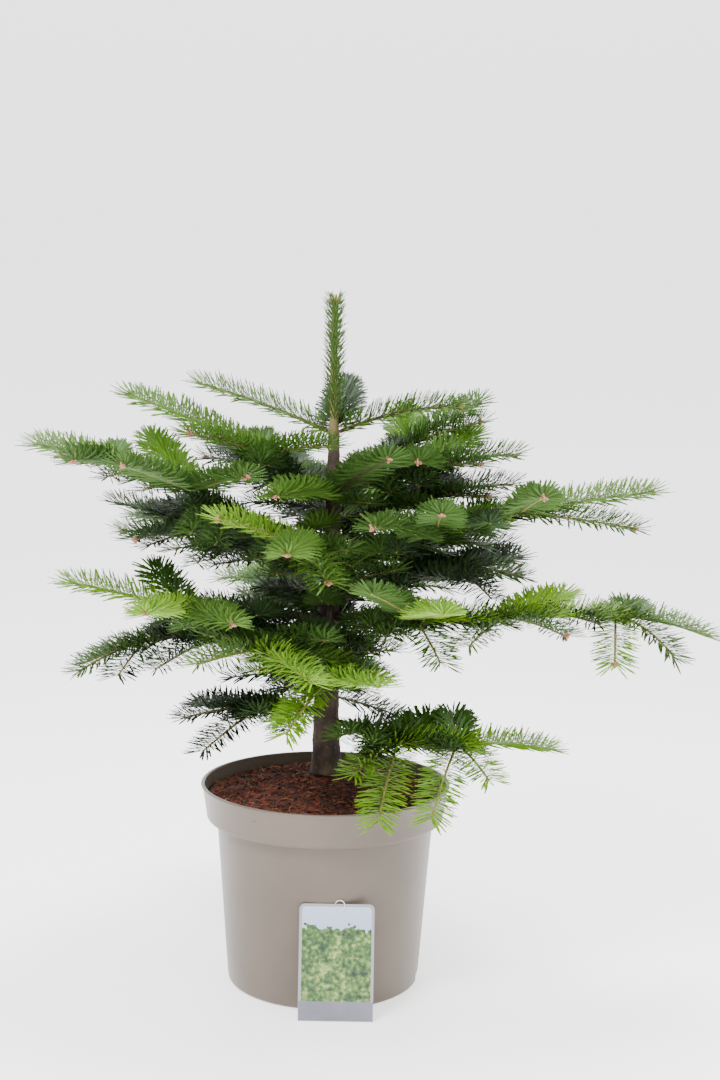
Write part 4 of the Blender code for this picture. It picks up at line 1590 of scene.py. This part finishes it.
@dataclass
class NurseryPot:
    """The pot: tapered wall, stepped rim band, rolled lip and notched foot."""

    height: float = 0.225
    rim: float = 0.140
    foot: float = 0.108
    body_top: float = 0.1215
    band: float = 0.038
    band_inset: float = 0.0065
    wall: float = 0.0026
    lip: float = 0.0042
    lip_roll: float = 0.0012
    lip_round: float = 0.0008
    foot_round: float = 0.004
    floor: float = 0.003
    sides: int = 160
    notches: int = 4
    notch_half: tuple = (0.0052, 0.028, 0.011)
    notch_out: float = 0.0036
    notch_turn: float = math.radians(-94)
    crease: float = math.radians(35)
    finish: PotFinish = PotFinish()

    def body(self, height: float) -> float:
        """Outer radius below the rim band."""
        return self.foot + (self.body_top - self.foot) * height / (self.height - self.band)

    def outside(self) -> list[tuple[float, float]]:
        """Half section of the outside.

        Returns:
            Radius and height, from the underside's middle to the lip.
        """
        low = self.height - self.band
        band = self.rim - self.band_inset
        corner = self.foot_round
        points = [(0.0, 0.0), (self.foot - corner, 0.0)]
        for k in range(1, 5):
            turn = math.radians(22.5 * k)
            points.append((self.foot - corner + corner * math.sin(turn),
                           corner - corner * math.cos(turn)))
        points += [(self.body(0.03), 0.03), (self.body(0.10), 0.10), (self.body_top, low - 0.004)]
        points += [(self.body_top + 0.002, low - 0.0024), (band - 0.004, low - 0.0006)]
        points += [(band - 0.0012, low), (band - 0.0002, low + 0.0014), (band, low + 0.004)]
        points += [(self.rim - self.lip + self.wall, self.height - 0.0030)]
        roll = self.lip_roll
        for k in range(7):
            turn = math.radians(-90 + 30 * k)
            points.append((self.rim - roll + roll * math.cos(turn),
                           self.height - roll + roll * math.sin(turn)))
        points += [(self.rim - self.lip + self.lip_round, self.height)]
        points += [(self.rim - self.lip, self.height - self.lip_round)]
        return points

    def inside(self) -> list[tuple[float, float]]:
        """Half section of the hollow.

        Returns:
            Radius and height, from the lip down to the floor's middle.
        """
        low = self.height - self.band
        return [(self.rim - self.lip, self.height - 0.006),
                (self.rim - self.lip - 0.006, low + 0.006), (self.body_top - self.wall, low),
                (self.body(self.floor) - self.wall, self.floor), (0.0, self.floor)]

    def notch_block(self, number: int) -> bpy.types.Object:
        """A block that cuts one notch.

        Args:
            number: Which notch.

        Returns:
            The block.
        """
        shape = bmesh.new()
        bmesh.ops.create_cube(shape, size=2.0)
        turn = Matrix.Rotation(self.notch_turn + math.tau * number / self.notches, 4, "Z")
        move = Matrix.Translation((self.foot + self.notch_out, 0.0, 0.0))
        place = turn @ move @ Matrix.Diagonal((*self.notch_half, 1.0))
        bmesh.ops.transform(shape, matrix=place, verts=shape.verts)
        mesh = bpy.data.meshes.new("notch")
        shape.to_mesh(mesh)
        shape.free()
        return put("notch", mesh)

    def build(self) -> None:
        """Make the pot and cut its notches."""
        verts, faces = turned(self.outside() + self.inside(), self.sides)
        pot = new_piece("pot_shell", verts, faces, self.finish.make())
        cutters = [self.notch_block(number) for number in range(self.notches)]
        for cutter in cutters:
            modifier = pot.modifiers.new("notch", "BOOLEAN")
            modifier.operation = "DIFFERENCE"
            modifier.solver = "EXACT"
            modifier.object = cutter
        graph = bpy.context.evaluated_depsgraph_get()
        cut = bpy.data.meshes.new_from_object(pot.evaluated_get(graph))
        pot.modifiers.clear()
        pot.data = cut
        cut.shade_smooth()
        cut.set_sharp_from_angle(angle=self.crease)
        for cutter in cutters:
            bpy.data.objects.remove(cutter, do_unlink=True)
        hand_over(pot, ["pot"])


@dataclass(frozen=True)
class Litter:
    """One kind of chip or fibre on the soil."""

    name: str
    fibre: bool
    count: int
    sizes: tuple
    colour: tuple


@dataclass
class Soil:
    """Coir and peat: an uneven mound with chips and fibres on it."""

    pot: NurseryPot
    trunk: Trunk
    edge: float = 0.2105
    crown: float = 0.2280
    crown_drop: float = 0.0025
    flat: float = 0.030
    sides: int = 96
    rings: int = 34
    hidden: tuple = ((0.0, 0.150), (0.110, 0.150), (0.1175, 0.186), (0.1285, 0.194))
    clear: float = 0.0006
    lumps: tuple = ((90, 0.0, 0.0016), (260, 4.0, 0.0011))
    litter: tuple = (Litter("coir_chips_red", False, 1430, (0.003, 0.009), srgb(118, 52, 34)),
                     Litter("coir_chips_dark", False, 1170, (0.003, 0.010), srgb(58, 30, 22)),
                     Litter("coir_fibres_brown", True, 434, (0.008, 0.022), srgb(136, 78, 50)),
                     Litter("coir_fibres_pale", True, 186, (0.007, 0.018), srgb(182, 138, 96)))
    seed: int = 5
    edge_room: float = 0.010
    trunk_room: float = 0.024
    finish: PeatFinish = PeatFinish()

    def height(self, x: float, y: float) -> float:
        """Height of the mound.

        Args:
            x: Place to the right.
            y: Place to the back.

        Returns:
            The height there.
        """
        y = y - self.trunk.middle_y * 0.5
        reach = self.pot.rim - self.pot.lip - 0.003
        share = min(1.0, max(0.0, (reach - math.hypot(x, y)) / (reach - self.flat)))
        rise = 0.5 - 0.5 * math.cos(math.pi * share)
        lumps = sum(size * noise.noise(Vector((x * scale, y * scale, layer)))
                    for scale, layer, size in self.lumps)
        top = self.crown - self.crown_drop
        return self.edge + (top - self.edge) * rise + lumps * min(1.0, 6 * share)

    def build(self) -> None:
        """Make the mound, then what lies on it."""
        reach = self.pot.rim - self.pot.lip - self.clear
        profile = [*self.hidden, (reach - 0.0014, self.edge - 0.004)]
        profile += [(reach - reach * k / self.rings, self.edge) for k in range(self.rings)]
        verts, faces = turned(profile + [(0.0, self.edge)], self.sides)
        for vert in verts:
            if vert.z > self.edge - 0.001:
                vert.z = self.height(vert.x, vert.y)
        hand_over(new_piece("soil_mound", verts, faces, self.finish.make()), ["soil"])
        dice = np.random.default_rng(self.seed)
        chip = Scatter(chip_shape())
        fibre = Scatter(fibre_shape())
        for kind in self.litter:
            self.strew(kind, fibre if kind.fibre else chip, dice)
        chip.clear()
        fibre.clear()

    def strew(self, kind: Litter, scatter: Scatter, dice: np.random.Generator) -> None:
        """Lay chips or fibres over the mound.

        Args:
            kind: What is laid.
            scatter: Places its shape.
            dice: Random numbers.
        """
        reach = self.pot.rim - self.pot.lip - self.edge_room
        radius = reach * np.sqrt(dice.uniform(0.0, 1.0, kind.count))
        angle = dice.uniform(0.0, math.tau, kind.count)
        x = radius * np.cos(angle)
        y = radius * np.sin(angle)
        middle = self.trunk.axis(self.trunk.base)
        keep = np.hypot(x - middle.x, y - self.trunk.middle_y) > self.trunk_room
        x = x[keep]
        y = y[keep]
        count = len(x)
        z = np.array([self.height(a, b) + 0.0006 for a, b in zip(x, y)])
        turn = dice.uniform(0.0, math.tau, count)
        along = np.stack([np.cos(turn), np.sin(turn), dice.normal(0.0, 0.22, count)], axis=1)
        top = RISE + dice.normal(0.0, 0.35, (count, 3))
        length = dice.uniform(*kind.sizes, count)
        size = np.stack([length, length * dice.uniform(0.7, 1.2, count), length * 0.8], axis=1)
        rows = Rows()
        rows.add(np.stack([x, y, z], axis=1), along, top, size)
        coir = CoirFinish(kind.name, kind.colour).make()
        hand_over(scatter.grow(kind.name, rows, coir, coir), [])


@dataclass
class PlantLabel:
    """The plant label: a laminated card with a plain green picture, leaning on the pot."""

    pot: NurseryPot
    width: float = 0.080
    height: float = 0.124
    thick: float = 0.0009
    x: float = 0.0165
    foot: float = 0.0180
    gap: float = 0.0003
    corner: float = 0.006
    sharp_corner: float = 0.0004
    border: float = 0.0030
    band: float = 0.0210
    band_inset: float = 0.0006
    skin: tuple = (-0.00012, 0.0001)
    loop_x: float = 0.003
    loop_radius: float = 0.0052
    loop_drop: float = 0.0015
    loop_wire: float = 0.00045
    loop_steps: int = 32
    picture: PictureFinish = PictureFinish()
    grey: CloudedFinish = CloudedFinish("label_band", srgb(104, 104, 116), srgb(116, 116, 128),
                                        40.0, 0.3, 0.3, 0.7)

    def place(self) -> Matrix:
        """Work out the card's seat.

        Returns:
            What turns and moves it there from its own plane.
        """
        lean = math.asin(self.foot / self.height)
        top = self.height * math.cos(lean)
        slope = (self.pot.body_top - self.pot.foot) / (self.pot.height - self.pot.band)
        back = -self.pot.body(top) - self.thick * (1 + slope) - self.gap
        move = Matrix.Translation((self.x, back - self.foot, self.thick * math.sin(lean)))
        return move @ Matrix.Rotation(-lean, 4, "X")

    def plate(self, name: str, box: tuple, corner: float, depth: tuple,
              material: bpy.types.Material) -> bpy.types.Object:
        """A thin plate with round top corners in the card's plane.

        Args:
            name: The piece's name.
            box: Left, right, low and high edge.
            corner: Radius of the top corners.
            depth: Front and back, in y.
            material: Its finish.

        Returns:
            The plate, seated.
        """
        left, right, low, high = box
        outline = []
        for x, z, turn in ((right, high, 0), (left, high, 90), (left, low, 180), (right, low, 270)):
            radius = corner if z == high else self.sharp_corner
            middle_x = x - math.copysign(radius, x - (left + right) / 2)
            middle_z = z - math.copysign(radius, z - (low + high) / 2)
            for step in range(7):
                angle = math.radians(turn + 15 * step)
                outline.append((middle_x + radius * math.cos(angle),
                                middle_z + radius * math.sin(angle)))
        count = len(outline)
        verts = [Vector((x, y, z)) for y in depth for x, z in outline]
        faces = [tuple(range(count)), tuple(reversed(range(count, 2 * count)))]
        for k in range(count):
            after = (k + 1) % count
            faces.append((after, k, k + count, after + count))
        piece = new_piece(name, verts, faces, material, smooth=False)
        piece.data.transform(self.place())
        return piece

    def loop(self, material: bpy.types.Material) -> bpy.types.Object:
        """The thin loop through the hole.

        Args:
            material: Its finish.

        Returns:
            The loop, seated.
        """
        points = []
        for k in range(self.loop_steps + 1):
            angle = math.tau * k / self.loop_steps * 0.98
            rise = self.height - self.loop_drop - self.loop_radius * math.cos(angle)
            points.append(Vector((self.loop_x + self.loop_radius * math.sin(angle),
                                  0.0004 - 0.0022 * math.cos(angle * 0.5), rise)))
        tubes = Tubes()
        tubes.add(points, self.loop_wire, self.loop_wire, 6)
        ring = tubes.piece("label_loop", material)
        ring.data.transform(self.place())
        return ring

    def build(self) -> None:
        """Make the card, its picture, its grey foot and its loop."""
        clear = Recipe("label_border", Base_Color=srgb(140, 140, 146), Roughness=0.2,
                       Coat_Weight=0.4).material
        white = Recipe("label_loop", Base_Color=srgb(232, 230, 224), Roughness=0.4).material
        half = self.width / 2
        card = (-half, half, 0.0, self.height)
        inner = (-half + self.border, half - self.border, self.band, self.height - self.border)
        inset = self.band_inset
        foot = (-half + inset, half - inset, inset, self.band)
        hand_over(self.plate("label_card", card, self.corner, (0.0, self.thick), clear),
                  ["plant_label"])
        hand_over(self.plate("label_picture", inner, self.corner - self.border * 0.6, self.skin,
                             self.picture.make()), [])
        hand_over(self.plate("label_foot", foot, self.sharp_corner, self.skin, self.grey.make()),
                  [])
        hand_over(self.loop(white), [])


@dataclass(frozen=True)
class Lamp:
    """A round soft light."""

    name: str
    place: tuple
    size: float
    power: float


@dataclass
class Studio:
    """Pale floor, soft light and the camera, as solved for 720 by 1080 pixels."""

    floor_size: float = 72.0
    floor_z: float = -0.0003
    wall_y: float = 13.5
    wall_top: float = 22.5
    bend: float = 4.5
    bend_steps: int = 12
    glow: float = 1.15
    sky: float = 1.35
    lamps: tuple = (Lamp("key", (-1.1, -1.5, 2.3), 0.9, 95.0),
                    Lamp("fill", (1.6, -1.4, 1.3), 1.0, 12.0),
                    Lamp("top", (0.3, 0.3, 2.4), 0.9, 80.0))
    aim: tuple = (0.0, 0.0, 0.4)
    image_height: int = 1080
    focal_pixels: float = 1630.0
    sensor: float = 36.0
    eye: tuple = (0.0343, -1.7971, 0.7064)
    pitch: float = math.radians(6.568)
    roll: float = math.radians(0.961)

    def build(self) -> None:
        """Set the stage, the lights and the camera."""
        self.lay_floor()
        world = bpy.data.worlds.new("studio")
        bpy.context.scene.world = world
        world.use_nodes = True
        sky = world.node_tree.nodes["Background"].inputs
        sky["Color"].default_value = (1.0, 0.995, 0.985, 1.0)
        sky["Strength"].default_value = self.sky
        for lamp in self.lamps:
            self.hang(lamp)
        self.set_camera()

    def lay_floor(self) -> None:
        """The floor, curved up into a far wall."""
        floor = Recipe("floor", Base_Color=srgb(244, 245, 247), Roughness=0.5,
                       Emission_Color=(1.0, 0.995, 0.985, 1.0), Emission_Strength=self.glow)
        half = self.floor_size / 2
        foot = self.wall_y - self.bend
        outline = [(-half, self.floor_z), (foot, self.floor_z)]
        for step in range(1, self.bend_steps + 1):
            turn = math.pi / 2 * step / self.bend_steps
            outline.append((foot + self.bend * math.sin(turn),
                            self.bend - self.bend * math.cos(turn)))
        outline.append((self.wall_y, self.wall_top))
        verts = [(x, y, z) for y, z in outline for x in (-half, half)]
        faces = [(2 * k, 2 * k + 1, 2 * k + 3, 2 * k + 2) for k in range(len(outline) - 1)]
        ground = new_piece("floor", verts, faces, floor.material)

    def hang(self, lamp: Lamp) -> None:
        """Hang a light that looks at the plant.

        Args:
            lamp: The light.
        """
        light = bpy.data.lights.new(lamp.name, "AREA")
        light.shape = "DISK"
        light.size = lamp.size
        light.energy = lamp.power
        aim = Vector(self.aim) - Vector(lamp.place)
        turn = aim.to_track_quat("-Z", "Y").to_matrix().to_4x4()
        put(lamp.name, light).matrix_world = Matrix.Translation(lamp.place) @ turn

    def set_camera(self) -> None:
        """The camera at the photograph's place and angle."""
        camera = bpy.data.cameras.new("camera")
        camera.sensor_width = self.sensor
        camera.lens = self.focal_pixels / self.image_height * self.sensor
        eye = put("camera", camera)
        tilt = Matrix.Rotation(math.pi / 2 - self.pitch, 4, "X")
        roll = Matrix.Rotation(self.roll, 4, "Z")
        eye.matrix_world = Matrix.Translation(self.eye) @ tilt @ roll
        bpy.context.scene.camera = eye


def node_tree(name: str) -> BVHTree:
    """A search tree of a model node's mesh.

    Args:
        name: The node.

    Returns:
        The tree.
    """
    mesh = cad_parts[name].data
    return BVHTree.FromPolygons([vert.co.copy() for vert in mesh.vertices],
                                [tuple(face.vertices) for face in mesh.polygons])


def main() -> None:
    """Build the studio, the plant and the pot, in order."""
    logging.basicConfig(level=logging.INFO, format="%(message)s")
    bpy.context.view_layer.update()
    Studio().build()
    trunk = Trunk()
    plan = BoughPlan(trunk)
    plan.lay_boughs(node_tree("trunk"))
    plan.lay_sprigs()
    plan.lay_leader()
    bark = BarkFinish().make()
    trunk.build(plan.feet, bark)
    Wood(plan).build(bark)
    Needles(plan).build()
    Buds(plan).build()
    pot = NurseryPot()
    pot.build()
    Soil(pot, trunk).build()
    PlantLabel(pot).build()


if __name__ == "__main__":
    main()
